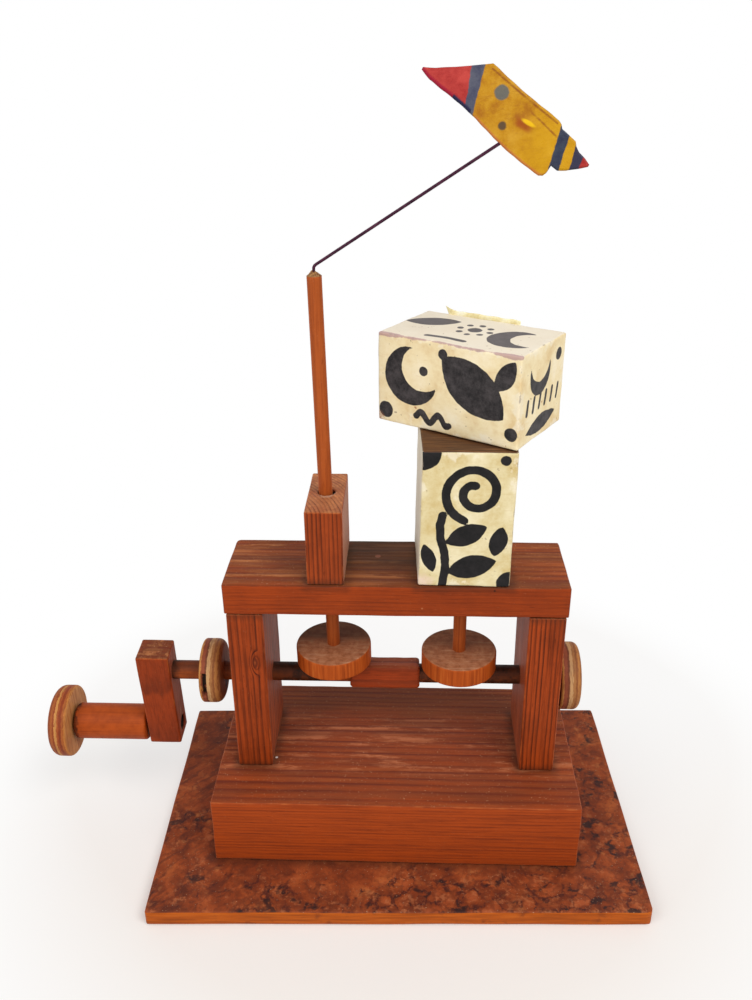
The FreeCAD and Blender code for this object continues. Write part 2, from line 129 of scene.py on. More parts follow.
class Shader(Nodes):
    """A material, built up coat by coat: shade is its colour so far."""

    def __init__(self, name):
        super().__init__(name, bpy.data.materials)
        self.surface = self.tree.nodes["Principled BSDF"]
        texture = self.node("ShaderNodeTexCoord")
        self.place = texture.outputs["Object"]
        self.normal = texture.outputs["Normal"]
        self.shade = None

    def vector(self, kind, first, second=(0, 0, 0)):
        made = self.node("ShaderNodeVectorMath", first, second, operation=kind)
        return made.outputs["Value" if kind in ("LENGTH", "DISTANCE", "DOT_PRODUCT") else "Vector"]

    def axis(self, name, where=None):
        """The X, Y or Z part of the place, or of another vector."""
        return self.node("ShaderNodeSeparateXYZ", self.place if where is None else where).outputs[name]

    def noise(self, scale, detail=2.0, roughness=0.5, distortion=0.0, output="Fac", where=None):
        """Cloudy noise at the place or another vector. A scale of three numbers stretches it to grain."""
        where = self.place if where is None else where
        if isinstance(scale, tuple):
            where, scale = self.vector("MULTIPLY", where, scale), 1.0
        made = self.node("ShaderNodeTexNoise", where)
        for socket, value in (("Scale", scale), ("Detail", detail), ("Roughness", roughness),
                              ("Distortion", distortion)):
            made.inputs[socket].default_value = value
        return made.outputs[output]

    def swing(self, noise, reach):
        """A noise turned into one about 0, from half the reach below it to half above."""
        return self.times(self.math("SUBTRACT", noise, 0.5), reach)

    def jitter(self, noise, reach):
        """A noise's middle part spread from the reach below 0 to the reach above."""
        return self.steps(noise, 0.3, 0.7, -reach, reach, smooth=False)

    def cells(self, where, scale, randomness=1.0):
        made = self.node("ShaderNodeTexVoronoi", where)
        made.inputs["Scale"].default_value = scale
        made.inputs["Randomness"].default_value = randomness
        return made.outputs["Distance"]

    def chance(self, number):
        """A random value from 0 to 1 for each whole number."""
        made = self.node("ShaderNodeTexWhiteNoise", noise_dimensions="1D")
        self.put(made.inputs["W"], number)
        return made.outputs["Value"]

    def ramp(self, value, stops, interpolation="LINEAR"):
        """A colour for each value, from stops of (position, colour)."""
        made = self.node("ShaderNodeValToRGB", value)
        made.color_ramp.interpolation = interpolation
        while len(made.color_ramp.elements) < len(stops):
            made.color_ramp.elements.new(0.5)
        for element, (position, shade) in zip(made.color_ramp.elements, stops):
            element.position = position
            element.color = colour(*shade)
        return made.outputs["Color"]

    def mix(self, share, first, second):
        made = self.node("ShaderNodeMix", share, data_type="RGBA", blend_type="MIX")
        self.put(made.inputs[6], first)
        self.put(made.inputs[7], second)
        return made.outputs[2]

    def coat(self, tint, *shares):
        """Lays a tint over the shade so far, as thick as the product of the shares (see times)."""
        self.shade = self.mix(self.times(*shares), self.shade, tint)

    def attribute(self, name):
        return self.node("ShaderNodeAttribute", attribute_name=name).outputs["Fac"]

    def facing_up(self, low=0.6, high=0.9):
        """1 on a face that looks up at rest, 0 on the others."""
        return self.steps(self.axis("Z", self.normal), low, high)

    def finish(self, roughness, height=None, depth=0.2, specular=0.15, reach=0.0005):
        """Ends the material: the shade, how rough it is, a relief of the height given, and its gloss."""
        self.put(self.surface.inputs["Base Color"], self.shade)
        self.put(self.surface.inputs["Roughness"], roughness)
        self.surface.inputs["Specular IOR Level"].default_value = specular
        if height is not None:
            bump = self.node("ShaderNodeBump")
            bump.inputs["Strength"].default_value = depth
            bump.inputs["Distance"].default_value = reach
            self.put(bump.inputs["Height"], height)
            self.put(self.surface.inputs["Normal"], bump.outputs[0])
        return self.owner


floor_half = 3.0
floor_mesh = bpy.data.meshes.new("floor")
floor_corners = [(-floor_half, -floor_half, 0), (floor_half, -floor_half, 0), (floor_half, floor_half, 0),
                 (-floor_half, floor_half, 0)]
floor_mesh.from_pydata(floor_corners, [], [(0, 1, 2, 3)])
floor = bpy.data.objects.new("floor", floor_mesh)
scene.collection.objects.link(floor)
paper = Shader("floor_paper")
paper.shade = (236, 231, 226)
floor_mesh.materials.append(paper.finish(0.9, specular=0.0))
paper_white = paper.math("MAXIMUM", paper.steps(paper.vector("LENGTH", paper.place), 0.09, 0.27),
                         paper.steps(paper.axis("Y"), -0.12, 0.12, 0.12, 0.8))
paper.show_white(paper.times(paper_white, paper.seen()), paper.surface.outputs[0], "ShaderNodeEmission",
                 "Material Output")

studio = Nodes("studio", bpy.data.worlds)
scene.world = studio.owner
even_light = studio.tree.nodes["Background"]
even_light.inputs["Color"].default_value = (1.0, 0.99, 0.97, 1.0)
even_light.inputs["Strength"].default_value = 0.5
studio.show_white(studio.seen(), even_light.outputs[0], "ShaderNodeBackground", "World Output")


def soft_lamp(name, place, size, power):
    """A square lamp that faces the middle of the object."""
    lamp = bpy.data.lights.new(name, "AREA")
    lamp.size = size
    lamp.energy = power
    made = bpy.data.objects.new(name, lamp)
    made.location = place
    object_middle = np.array([0.0, 0.0, 0.15])
    towards = object_middle - np.array(place)
    made.rotation_euler = (math.atan2(np.hypot(towards[0], towards[1]), -towards[2]), 0,
                           math.atan2(towards[1], towards[0]) - math.pi / 2)
    scene.collection.objects.link(made)


soft_lamp("lamp_key", (0.8, -0.75, 1.45), 0.8, 15.0)
soft_lamp("lamp_fill", (-0.9, -0.9, 1.1), 1.0, 10.0)


# Base plate: a thin board faced on top with figured burr veneer and stained; its plain edges show tan wood.
# It is sawn, glued up and slightly rounded and wavy along its edges from wear.
def loop_turns(count_a, count_b, arc):
    """Places round a rounded rectangle: for each point the side shares (-1 to 1) and the outward angle."""
    ends = np.linspace(0, 1, arc, endpoint=False)
    side_a = np.linspace(1, -1, count_a, endpoint=False)
    side_b = np.linspace(-1, 1, count_b, endpoint=False)
    share_a = np.concatenate([np.ones(count_b + arc), side_a, -np.ones(arc), -np.ones(count_b + arc),
                              -side_a, np.ones(arc)])
    share_b = np.concatenate([side_b, np.ones(arc), np.ones(count_a + arc), -side_b, -np.ones(arc),
                              -np.ones(count_a + arc)])
    quarter = np.concatenate([np.zeros(count_b), ends, np.ones(count_a), 1 + ends, 2 * np.ones(count_b),
                              2 + ends, 3 * np.ones(count_a), 3 + ends])
    return share_a, share_b, quarter * np.pi / 2


least_corner = 0.05


def end_shares(width, height, step):
    """The sizes, as shares, of the rings that shrink to the middle of an end face."""
    return np.linspace(1, 0, max(3, int(round(min(width, height) / 2 / step))) + 1)[1:]


def block_rings(length, width, height, rounding, step=2.0, arc=4):
    """A block with every edge rounded, centred on 0: a rounded rectangle carried along x, drawn in along a
    quarter circle at each end and then shrunk to the middle of the end face. Rows, columns, xyz in mm."""
    count = [max(2, int(round(size / step))) for size in (length, width, height)]
    share_a, share_b, angle = loop_turns(count[1], count[2], arc)
    bend = np.linspace(0, np.pi / 2, arc + 1)
    cap = end_shares(width, height, step)
    flat = np.linspace(-1, 1, count[0] + 1)[1:-1] * (length / 2 - rounding)
    end_x = np.concatenate([length / 2 - rounding + rounding * np.sin(bend), np.full(len(cap), length / 2)])
    end_inset = np.concatenate([rounding * (1 - np.cos(bend)), np.full(len(cap), rounding)])
    end_scale = np.concatenate([np.ones(len(bend)), cap])
    along = np.concatenate([-end_x[::-1], flat, end_x])
    inset = np.concatenate([end_inset[::-1], np.zeros(len(flat)), end_inset])
    scale = np.concatenate([end_scale[::-1], np.ones(len(flat)), end_scale])
    corner = np.maximum(rounding - inset, least_corner)[:, None]
    half_y = (width / 2 - inset)[:, None] - corner
    half_z = (height / 2 - inset)[:, None] - corner
    across = (half_y * share_a + corner * np.cos(angle)) * scale[:, None]
    up = (half_z * share_b + corner * np.sin(angle)) * scale[:, None]
    return np.stack([np.broadcast_to(along[:, None], across.shape), across, up], axis=-1)


def sink_hole(rings, size, step, across, up, radius, depth):
    """Sinks a round hole at (across, up) into the far end face: the face's rings change in even shares into
    the hole's circle, which is carried in by its depth and closed there."""
    length, width, height = size
    cap = end_shares(width, height, step)
    centre = np.array([across, up])
    outline = rings[-len(cap) - 1, :, 1:]
    towards = outline - centre
    circle = centre + radius * towards / np.linalg.norm(towards, axis=-1, keepdims=True)
    wall = np.linspace(0, depth, max(2, int(depth / step)) + 1)[1:]
    floor_share = np.array([0.5, 0.0])[:, None, None]
    inside = np.concatenate([np.broadcast_to(circle, (len(wall), *circle.shape)),
                             centre + (circle - centre) * floor_share])
    inside_x = length / 2 - np.concatenate([wall, [depth, depth]])
    rings[-len(cap):, :, 1:] = outline + (1 - cap)[:, None, None] * (circle - outline)
    inside_x = np.broadcast_to(inside_x[:, None, None], (*inside.shape[:2], 1))
    return np.concatenate([rings, np.concatenate([inside_x, inside], axis=-1)])


def edge_distance(rings, length, width, height):
    """How far each point of a block is from its nearest edge: the second smallest distance to its faces."""
    gaps = np.stack([length / 2 - np.abs(rings[..., 0]), width / 2 - np.abs(rings[..., 1]),
                     height / 2 - np.abs(rings[..., 2])], axis=-1)
    return np.sort(gaps, axis=-1)[..., 1]


def cut_corners(rings, length, width, radii):
    """Rounds a block's four upright edges: a point outside the arc of that corner is drawn in to it. The
    radii in mm are those of the left front, right front, left back and right back."""
    right, back = rings[..., 0] > 0, rings[..., 1] > 0
    radius = np.select([~right & ~back, right & ~back, ~right & back], radii[:3], radii[3])
    past_x = np.maximum(np.abs(rings[..., 0]) - (length / 2 - radius), 0)
    past_y = np.maximum(np.abs(rings[..., 1]) - (width / 2 - radius), 0)
    reach = np.hypot(past_x, past_y)
    pull = 1 - np.minimum(radius / np.maximum(reach, radius), 1)
    moved = rings.copy()
    moved[..., 0] -= np.sign(rings[..., 0]) * past_x * pull
    moved[..., 1] -= np.sign(rings[..., 1]) * past_y * pull
    return moved


def drift(places, wavelength, seed, count=6):
    """A smooth value from 0 to 1 at each place: a sum of sine waves of random directions and phases."""
    chance = np.random.default_rng(seed)
    waves = chance.normal(size=(count, 3)) * 2 * np.pi / wavelength
    phases = chance.uniform(0, 2 * np.pi, count)
    gain = 1.6
    return 0.5 + 0.5 * np.sin(places @ waves.T + phases).mean(axis=-1) * gain


def worn(rings, amount, wavelength, seed):
    """Moves each point towards the block's middle by up to amount: uneven faces from planing and wear."""
    pull = np.stack([drift(rings, wavelength, seed + axis) for axis in range(3)], axis=-1)
    still_within = 2.0
    share = np.minimum(np.abs(rings) / still_within, 1)
    return rings - np.sign(rings) * np.clip(pull, 0, 1) * amount * share


def turned_about(places, turns, centre):
    """Places in mm turned by each (angle in degrees, axis) in turn about 0, and then moved to centre."""
    for angle, axis in turns:
        c, s = math.cos(math.radians(angle)), math.sin(math.radians(angle))
        turn = {"z": [[c, -s, 0], [s, c, 0], [0, 0, 1]], "x": [[1, 0, 0], [0, c, -s], [0, s, c]],
                "y": [[c, 0, s], [0, 1, 0], [-s, 0, c]]}[axis]
        places = places @ np.array(turn).T
    return places + np.array(centre)


def add_skin(name, rings, material, body, node, slot_name, **values):
    """Makes a closed mesh from rings (rows by columns by xyz, in mm); the first and last rows are single
    points, and a shell whose volume comes out below 0 is turned. Each value, an array like the rows and
    columns, is kept as a vertex attribute of its name."""
    rows, columns = rings.shape[:2]
    vertices = np.concatenate([rings[:1, 0], rings[1:-1].reshape(-1, 3), rings[-1:, 0]]) * MM
    here = 1 + np.arange((rows - 2) * columns).reshape(rows - 2, columns)
    beside = np.roll(here, -1, axis=1)
    quads = np.stack([here[:-1], beside[:-1], beside[1:], here[1:]], axis=-1).reshape(-1, 4)
    first = np.stack([np.zeros(columns, int), beside[0], here[0]], axis=-1)
    last = np.stack([np.full(columns, len(vertices) - 1), here[-1], beside[-1]], axis=-1)
    triangles = np.concatenate([first, last])
    corners = vertices[np.concatenate([triangles, quads[:, [0, 1, 2]], quads[:, [0, 2, 3]]])]
    volume = np.einsum("ij,ij->i", corners[:, 0], np.cross(corners[:, 1], corners[:, 2])).sum()
    if volume < 0:
        quads, triangles = quads[:, ::-1], triangles[:, ::-1]
    mesh = bpy.data.meshes.new(name)
    mesh.from_pydata(vertices.tolist(), [], quads.tolist() + triangles.tolist())
    for value_name, array in values.items():
        flat = np.concatenate([array[:1, 0], array[1:-1].ravel(), array[-1:, 0]]).astype(np.float32)
        mesh.attributes.new(value_name, "FLOAT", "POINT").data.foreach_set("value", flat)
    mesh.polygons.foreach_set("use_smooth", np.ones(len(mesh.polygons), bool))
    mesh.materials.append(material)
    piece = bpy.data.objects.new(name, mesh)
    scene.collection.objects.link(piece)
    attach(piece, body)
    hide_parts(node)


def box_of(node):
    """The low and the high corner in mm of a CAD node's box at rest."""
    return (np.array(corner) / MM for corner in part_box(node))


def middle(node):
    """The middle and the size in mm of a CAD node's box at rest."""
    low, high = box_of(node)
    return (low + high) / 2, high - low


far_off = 50.0


def gap_to(places, neighbours):
    """The distance in mm from each place to the nearest box of the CAD nodes named."""
    gaps = [np.full(places.shape[:2], far_off)]
    for node in neighbours:
        low, high = box_of(node)
        gaps.append(np.linalg.norm(np.maximum(np.maximum(low - places, places - high), 0), axis=-1))
    return np.minimum.reduce(gaps)


def add_block(name, size, centre, material, body, node, slot_name, turns=(), rounding=0.8, step=2.0,
              wear=0.25, wavelength=40.0, seed=1, hole=None, offset=(0, 0, 0), beside=(), corners=None):
    """A worn rounded block of that size (along, across, up) moved by offset, turned by each (angle, axis)
    in turn and moved to centre. It keeps each point's distance from its nearest edge and from the nodes
    beside it, and whether it is inside the hole (across, up, radius, depth)."""
    rings = block_rings(*size, rounding, step)
    outside_rows = len(rings)
    if hole is not None:
        rings = sink_hole(rings, size, step, *hole)
    distance = edge_distance(rings, *size)
    if corners is not None:
        rings = cut_corners(rings, size[0], size[1], corners)
    hole_lip = 0.3
    in_hole = np.abs(rings[..., 0]) < size[0] / 2 - hole_lip
    in_hole &= np.arange(len(rings))[:, None] >= outside_rows
    places = turned_about(worn(rings, wear, wavelength, seed) + np.array(offset), turns, centre)
    add_skin(name, places, material, body, node, slot_name, edge_mm=distance,
             joint_mm=gap_to(places, beside), hole=in_hole)


base_size = (240.0, 150.0, 8.6)
base_angle = 1.6
veneer = Shader("burr_veneer")
swirl = veneer.noise(55.0, 5.0, 0.65, output="Color")
bent = veneer.vector("ADD", veneer.place, veneer.vector("MULTIPLY", swirl, (0.013, 0.011, 0.0)))
cloud = veneer.noise(70.0, 5.0, 0.65, 0.5, where=bent)
veneer.shade = veneer.ramp(cloud, [(0.32, (98, 44, 24)), (0.45, (130, 58, 28)), (0.56, (148, 70, 34)),
                                   (0.7, (170, 90, 46))])
grit = veneer.noise(650.0, 3.0, 0.7)
veneer.coat((76, 34, 20), (grit, 0.5, 0.72, 0.0, 0.55))
pale_spot = veneer.noise(130.0, 3.0, 0.6)
veneer.coat((178, 108, 62), (pale_spot, 0.6, 0.75, 0.0, 0.7))
streak_angle = math.radians(52)
rising = (math.cos(streak_angle), math.sin(streak_angle), 0.0)
falling = (-rising[1], rising[0], 0.0)
rise, fall = (veneer.vector("DOT_PRODUCT", bent, way) for way in (rising, falling))
streak_place = veneer.node("ShaderNodeCombineXYZ", veneer.times(rise, 45.0), veneer.times(fall, 300.0))
streak = veneer.noise(1.0, 3.0, 0.6, where=streak_place.outputs[0])
veneer.coat((82, 38, 26), (streak, 0.5, 0.66), (veneer.axis("X"), -0.09, -0.04, 0.65, 0.15))
front_share = veneer.steps(veneer.axis("Y"), -0.045, -0.074, 0.0, 0.12)
right_share = veneer.steps(veneer.axis("X"), 0.06, 0.1, 0.0, 0.1)
patch_place = veneer.plus(veneer.noise(42.0, 4.0, 0.65), veneer.plus(front_share, right_share))
vein_patch = veneer.steps(patch_place, 0.5, 0.6)
cell = veneer.cells(bent, 105.0, randomness=0.85)
cell_size = veneer.steps(veneer.noise(120.0, 3.0), 0.35, 0.65, 0.42, 0.6, smooth=False)
uneven = veneer.steps(veneer.noise(180.0, 3.0, 0.6), 0.25, 0.75, -0.26, 0.26, smooth=False)
cell_share = veneer.plus(veneer.math("DIVIDE", cell, cell_size), uneven)
broken = veneer.steps(veneer.noise(150.0, 3.0, 0.6, where=bent), 0.42, 0.55, 0.2, 1.0)
vein = veneer.times((cell_share, 0.84, 1.02), (cell_share, 1.06, 1.3, 1.0, 0.35), broken, vein_patch)
veneer.coat((172, 88, 50), (cell_share, 0.3, 0.8, 0.45, 0.0), vein_patch)
veneer.coat((84, 38, 24), (veneer.cells(bent, 260.0), 0.5, 0.72, 0.0, 0.45),
            (patch_place, 0.4, 0.6, 0.3, 1.0))
veneer.coat(veneer.ramp(grit, [(0.4, (50, 24, 24)), (0.6, (80, 36, 28))]), vein, 0.85)
fleck = veneer.noise(290.0, 3.0, 0.65)
veneer.coat((180, 106, 66), (fleck, 0.52, 0.7, 0.0, 0.5), vein_patch)
blot = veneer.noise(125.0, 3.0, 0.6, where=bent)
veneer.coat((40, 26, 26), (blot, 0.52, 0.6), (veneer.plus(patch_place, right_share), 0.58, 0.68),
            (cell_share, 0.72, 0.95), 0.85)
mote = veneer.noise(1300.0, 1.0)
veneer.coat((205, 165, 130), (mote, 0.69, 0.8, 0.0, 0.6))
# Round the plinth's foot the veneer is painted darker: a painted shade.
painted_shade_gap = veneer.plus(veneer.attribute("joint_mm"), veneer.jitter(grit, 1.5))
veneer.coat((62, 28, 16), (painted_shade_gap, 0.0, 6.0, 0.55, 0.0))
fibre = veneer.noise((40.0, 600.0, 900.0), 3.0, 0.6)
edge_wood = veneer.ramp(fibre, [(0.3, (146, 66, 8)), (0.55, (178, 84, 14)), (0.8, (196, 104, 30))])
edge_dirt = veneer.noise(160.0, 4.0, 0.6)
edge_wood = veneer.mix(veneer.steps(edge_dirt, 0.55, 0.75, 0.0, 0.6), edge_wood, (108, 48, 18))
veneer.shade = veneer.mix(veneer.facing_up(0.5, 0.75), edge_wood, veneer.shade)
base_material = veneer.finish(0.6, veneer.plus(veneer.times(vein, -0.5), grit), reach=0.0004)
add_block("base_board", base_size, (0.0, -1.5, base_size[2] / 2), base_material, "stand", "base_plate",
          "base_veneer", [(base_angle, "z")], rounding=1.2, wear=0.35, wavelength=90.0, seed=11,
          beside=["plinth_block"], corners=(2.0, 3.4, 2.0, 2.4))


# Plinth, uprights, beam and guide post: softwood blocks stained orange red, planed and glued. The growth
# rings show as dark lines along the grain, and the faces that look up are browner and dusty.
def metres(values):
    """A place or sizes in mm, as the metres that the shaders take."""
    return tuple(value * MM for value in values)


second_draw = 31.0
shaded_span_blur = 3.0


def stained_wood(name, pith, along, spacing, light, dark, dusty, wobble=2.5, ring_depth=0.8, seed=0.0,
                 blotch=0.35, knot=None, sheen=0.2, shaded_span=None, marks=(), top_depth=0.9, cut_from=None,
                 pale_band=None, pale=(206, 130, 76), stripes=0.0, rub=(190, 104, 50)):
    """Softwood: a ring's place is the distance from a pith line along the axis named, divided by the ring
    spacing in mm and bent by stretched noise; each ring goes from light early wood to a dark line of its
    own strength. Fine stretched noise gives fibres and flecks, wide noise the uneven stain, blotch at most.
    Faces that look up take the dusty colour, edges are rubbed to the shade of rub, and the wood is painted
    darker where another part stands on it or meets it, as a painted shade. A knot (place and half sizes)
    pushes the rings round itself, a painted shade lies on the top between two places along x, and each mark
    is a small round dot (place, radius, colour). ring_depth and top_depth are the strength of the lines on
    the sides and on the top, and cut_from the place along a rod from which the wood is freshly cut. The
    pale patches of the top keep to a band between two places along y, behind which the top is painted
    darker as a painted shade, and stripes is the strength of wide light and dark stripes on the top."""
    wood = Shader(name)

    def grain(across, lengthways):
        """A scale of three numbers: one along the wood and the other across it."""
        scale = [across] * 3
        scale["xyz".index(along)] = lengthways
        return tuple(scale)

    moved = wood.vector("ADD", wood.place, (seed, seed * 0.7, -seed * 0.4))
    bend = wood.noise(75.0, 3.0, 0.45, where=wood.vector("MULTIPLY", moved, grain(1.0, 0.05)))
    wander = wood.noise(60.0, where=wood.vector("MULTIPLY", moved, grain(4.0, 0.2)))
    away = wood.vector("SUBTRACT", wood.place, metres(pith))
    radius = wood.plus(wood.vector("LENGTH", wood.vector("MULTIPLY", away, grain(1.0, 0.0))),
                       wood.times(bend, wobble * MM), wood.times(wander, 0.3 * wobble * MM))
    if knot is not None:
        knot_place, knot_size = knot
        knot_gap = wood.vector("SUBTRACT", wood.place, metres(knot_place))
        knot_gap = wood.vector("MULTIPLY", knot_gap, tuple(1 / half for half in metres(knot_size)))
        knot_gap = wood.vector("LENGTH", knot_gap)
        radius = wood.plus(radius, wood.steps(knot_gap, 0.0, 2.6, 2.2 * spacing * MM, 0.0))
    level = wood.math("DIVIDE", radius, spacing * MM)
    ring = wood.math("FRACT", level)
    number = wood.math("FLOOR", level)
    patchy = wood.noise(140.0, where=wood.vector("MULTIPLY", moved, grain(3.0, 0.15)))
    line = wood.times(wood.math("POWER", wood.steps(ring, 0.2, 0.85), 2.0), (ring, 0.88, 1.0, 1.0, 0.0),
                      (wood.chance(number), 0.0, 0.8, 0.35, 1.0, False), (patchy, 0.3, 0.6, 0.45, 1.0))
    fibre = wood.noise(grain(1000.0, 30.0), 4.0, 0.7, where=moved)
    fleck = wood.noise(grain(1500.0, 160.0), 2.0, 0.6, where=moved)
    patch = wood.noise(28.0, 4.0, 0.65, where=moved)
    wood.shade = light
    wood.coat(dark, (patch, 0.35, 0.7, 0.0, blotch))
    wood.coat(dark, (fibre, 0.42, 0.7, 0.0, 0.5))
    up = wood.facing_up()
    dust_patch = wood.noise(grain(130.0, 26.0), 5.0, 0.7, where=moved)
    wood.coat(dusty, up, (dust_patch, 0.3, 0.6, 0.45, 0.95))
    pale_share = wood.times((dust_patch, 0.49, 0.59, 0.0, 0.95),
                            (wood.chance(wood.plus(number, second_draw)), 0.2, 0.6, 0.3, 1.0),
                            (ring, 0.0, 0.25, 0.2, 1.0))
    if pale_band is not None:
        across_top = wood.plus(wood.axis("Y"), wood.jitter(patch, 0.006))
        low, high = metres(pale_band)
        pale_share = wood.times(pale_share, (across_top, low, low + 0.008),
                                (across_top, high - 0.008, high, 1.0, 0.0))
        # Behind the band the top is painted darker: a painted shade.
        wood.coat((116, 66, 36), up, (across_top, high - 0.01, high + 0.01, 0.0, 0.45))
    wood.coat(wood.mix(0.55, dusty, pale), up, pale_share)
    if stripes > 0.0:
        stripe = wood.noise(grain(150.0, 11.0), 4.0, 0.65, where=moved)
        wood.coat((82, 38, 22), up, stripes, (stripe, 0.36, 0.5, 0.8, 0.0))
        wood.coat((172, 92, 46), up, stripes, (stripe, 0.52, 0.66, 0.0, 0.8))
    line_shade = wood.mix(up, dark, wood.mix(0.5, dark, (104, 42, 28)))
    wood.coat(line_shade, line, (up, 0.0, 1.0, ring_depth, top_depth))
    wood.coat(dark, (fleck, 0.6, 0.78, 0.0, 0.55))
    speck = wood.noise(1300.0, 1.0, where=moved)
    wood.coat((200, 150, 112), (speck, 0.68, 0.8, 0.0, 0.5), wood.plus(up, 0.25))
    edge_place = wood.plus(wood.attribute("edge_mm"), wood.jitter(fleck, 0.3))
    rubbed = wood.steps(wood.noise(110.0, 3.0, where=moved), 0.4, 0.6)
    wood.coat(rub, (edge_place, 0.0, 0.7, 1.0, 0.0), rubbed, 0.5)
    # Near a part that stands on it or meets it, the wood is painted darker: a painted shade.
    contact_shade = wood.plus(wood.attribute("joint_mm"), wood.jitter(fleck, 1.2))
    wood.coat((58, 30, 16), (contact_shade, 0.0, 5.0, 0.5, 0.0))
    if knot is not None:
        eye = wood.mix(wood.steps(knot_gap, 0.0, 0.55), (150, 70, 30), (70, 26, 12))
        wood.coat(eye, (knot_gap, 0.75, 1.0, 0.65, 0.0))
    # A painted shade on the top between two places along x, darker towards the back.
    if shaded_span is not None:
        across = wood.plus(wood.axis("X"), wood.swing(patch, 0.02))
        left, right = ((across, (edge - shaded_span_blur) * MM, (edge + shaded_span_blur) * MM) for edge in shaded_span)
        wood.coat((56, 38, 14), left, (*right, 1.0, 0.0), (dust_patch, 0.3, 0.65, 0.85, 0.6),
                  (wood.axis("Y"), -0.012, 0.006, 0.45, 1.0), up)
    for mark_place, mark_radius, mark_shade in marks:
        mark_gap = wood.vector("DISTANCE", wood.place, metres(mark_place))
        wood.coat(mark_shade, (mark_gap, 0.7 * mark_radius * MM, mark_radius * MM, 0.85, 0.0))
    if cut_from is not None:
        fresh = wood.ramp(fleck, [(0.35, (96, 58, 34)), (0.6, (160, 118, 70))])
        wood.coat(fresh, (wood.attribute("along_mm"), cut_from - 0.2, cut_from + 0.3))
    # The inside of a hole is painted near black: a painted shade.
    wood.coat((26, 16, 12), wood.attribute("hole"))
    wood.surface.inputs["Sheen Weight"].default_value = sheen
    wood.surface.inputs["Sheen Tint"].default_value = (1.0, 0.62, 0.42, 1.0)
    wood.surface.inputs["Sheen Roughness"].default_value = 0.35
    height = wood.plus(wood.math("SUBTRACT", wood.times(fibre, 0.6), wood.times(line, 0.5)),
                       wood.times(fleck, -0.4))
    return wood.finish(wood.steps(fibre, 0.2, 0.8, 0.5, 0.7), height, depth=0.25)


plinth_centre, plinth_size = middle("plinth_block")
plinth_wood = stained_wood("plinth_wood", (0.0, -165.0, -300.0), "x", 1.78, (168, 68, 18), (92, 32, 14),
                           (132, 62, 32), seed=0.3, wobble=2.2, ring_depth=0.45, blotch=0.15,
                           marks=[((-61.3, -13.7, 45.9), 0.8, (235, 228, 220))], top_depth=1.0,
                           pale_band=(-26.0, 22.0), pale=(214, 128, 84), stripes=0.4)
add_block("plinth", plinth_size, plinth_centre, plinth_wood, "stand", "plinth_block", "plinth_wood",
          seed=21, beside=["left_upright", "right_upright"])

beam_centre, beam_size = middle("top_beam")
beam_marks = [((-9.3, 8.5, 152.3), 1.6, (156, 96, 72)), ((44.8, -20.4, 150.8), 0.7, (40, 18, 8)),
              ((11.9, -20.4, 140.9), 0.6, (176, 104, 66))]
# The beam's top between the guide post and the dog's body takes a painted shade.
beam_shaded_span = (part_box("guide_post")[1][0] / MM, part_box("body_block")[0][0] / MM)
beam_wood = stained_wood("beam_wood", (0.0, -34.0, 96.0), "x", 2.0, (158, 61, 12), (88, 30, 10),
                         (124, 62, 24), seed=1.7, ring_depth=0.3, shaded_span=beam_shaded_span, marks=beam_marks,
                         sheen=0.08, stripes=0.6, rub=(84, 36, 20))
add_block("beam", beam_size, beam_centre, beam_wood, "stand", "top_beam", "frame_wood", seed=31, step=1.2,
          beside=["guide_post", "body_block"], corners=(1.0, 1.0, 3.6, 2.2))

left_knot = ((-67.5, -20.2, 109.1), (1.4, 5.0, 3.5))
for side, pith, spacing, wood_seed, knot, wear_seed in (
        ("left", (-130.0, -44.0, 0.0), 2.7, 2.9, left_knot, 41),
        ("right", (20.0, -50.0, 0.0), 1.8, 4.1, None, 51)):
    upright_centre, upright_size = middle(f"{side}_upright")
    upright_wood = stained_wood(f"{side}_upright_wood", pith, "z", spacing, (166, 66, 18), (58, 16, 2),
                                (122, 64, 34), ring_depth=1.0, wobble=2.0, seed=wood_seed, knot=knot,
                                sheen=0.08)
    add_block(f"upright_{side}", upright_size, upright_centre, upright_wood, "stand", f"{side}_upright",
              "frame_wood", seed=wear_seed, step=1.6, beside=["plinth_block", "top_beam"])

post_centre, post_size = middle("guide_post")
rod_axis_y = 2.1
bore_radius, bore_floor = 4.3, 1.0
post_bore = (0.0, rod_axis_y - post_centre[1], bore_radius, post_size[2] - bore_floor)
post_wood = stained_wood("post_wood", (-90.0, -34.0, 0.0), "z", 1.8, (162, 66, 20), (66, 20, 4),
                         (168, 104, 64), seed=5.3, ring_depth=0.95, wobble=1.5, sheen=0.45)
add_block("post", (post_size[2], post_size[0], post_size[1]), post_centre, post_wood, "stand", "guide_post",
          "frame_wood", [(90, "x"), (-90, "y")], seed=61, step=1.4, hole=post_bore, beside=["top_beam"])


# Crank: a dowel shaft with a dark square drive block glued round it, a stopping collar at each end cut from
# plywood, and a sawn arm on the left. Turned parts are discs and rods with rounded rims.
def turned_rings(stations, radii, columns):
    """A surface of revolution about x: a circle of the given radius at each station. The first and last
    radius is 0, which closes the ends."""
    angle = np.linspace(0, 2 * np.pi, columns, endpoint=False)
    radii = np.broadcast_to(radii[:, None], (len(stations), columns))
    return np.stack([np.broadcast_to(stations[:, None], radii.shape), radii * np.cos(angle),
                     radii * np.sin(angle)], axis=-1)


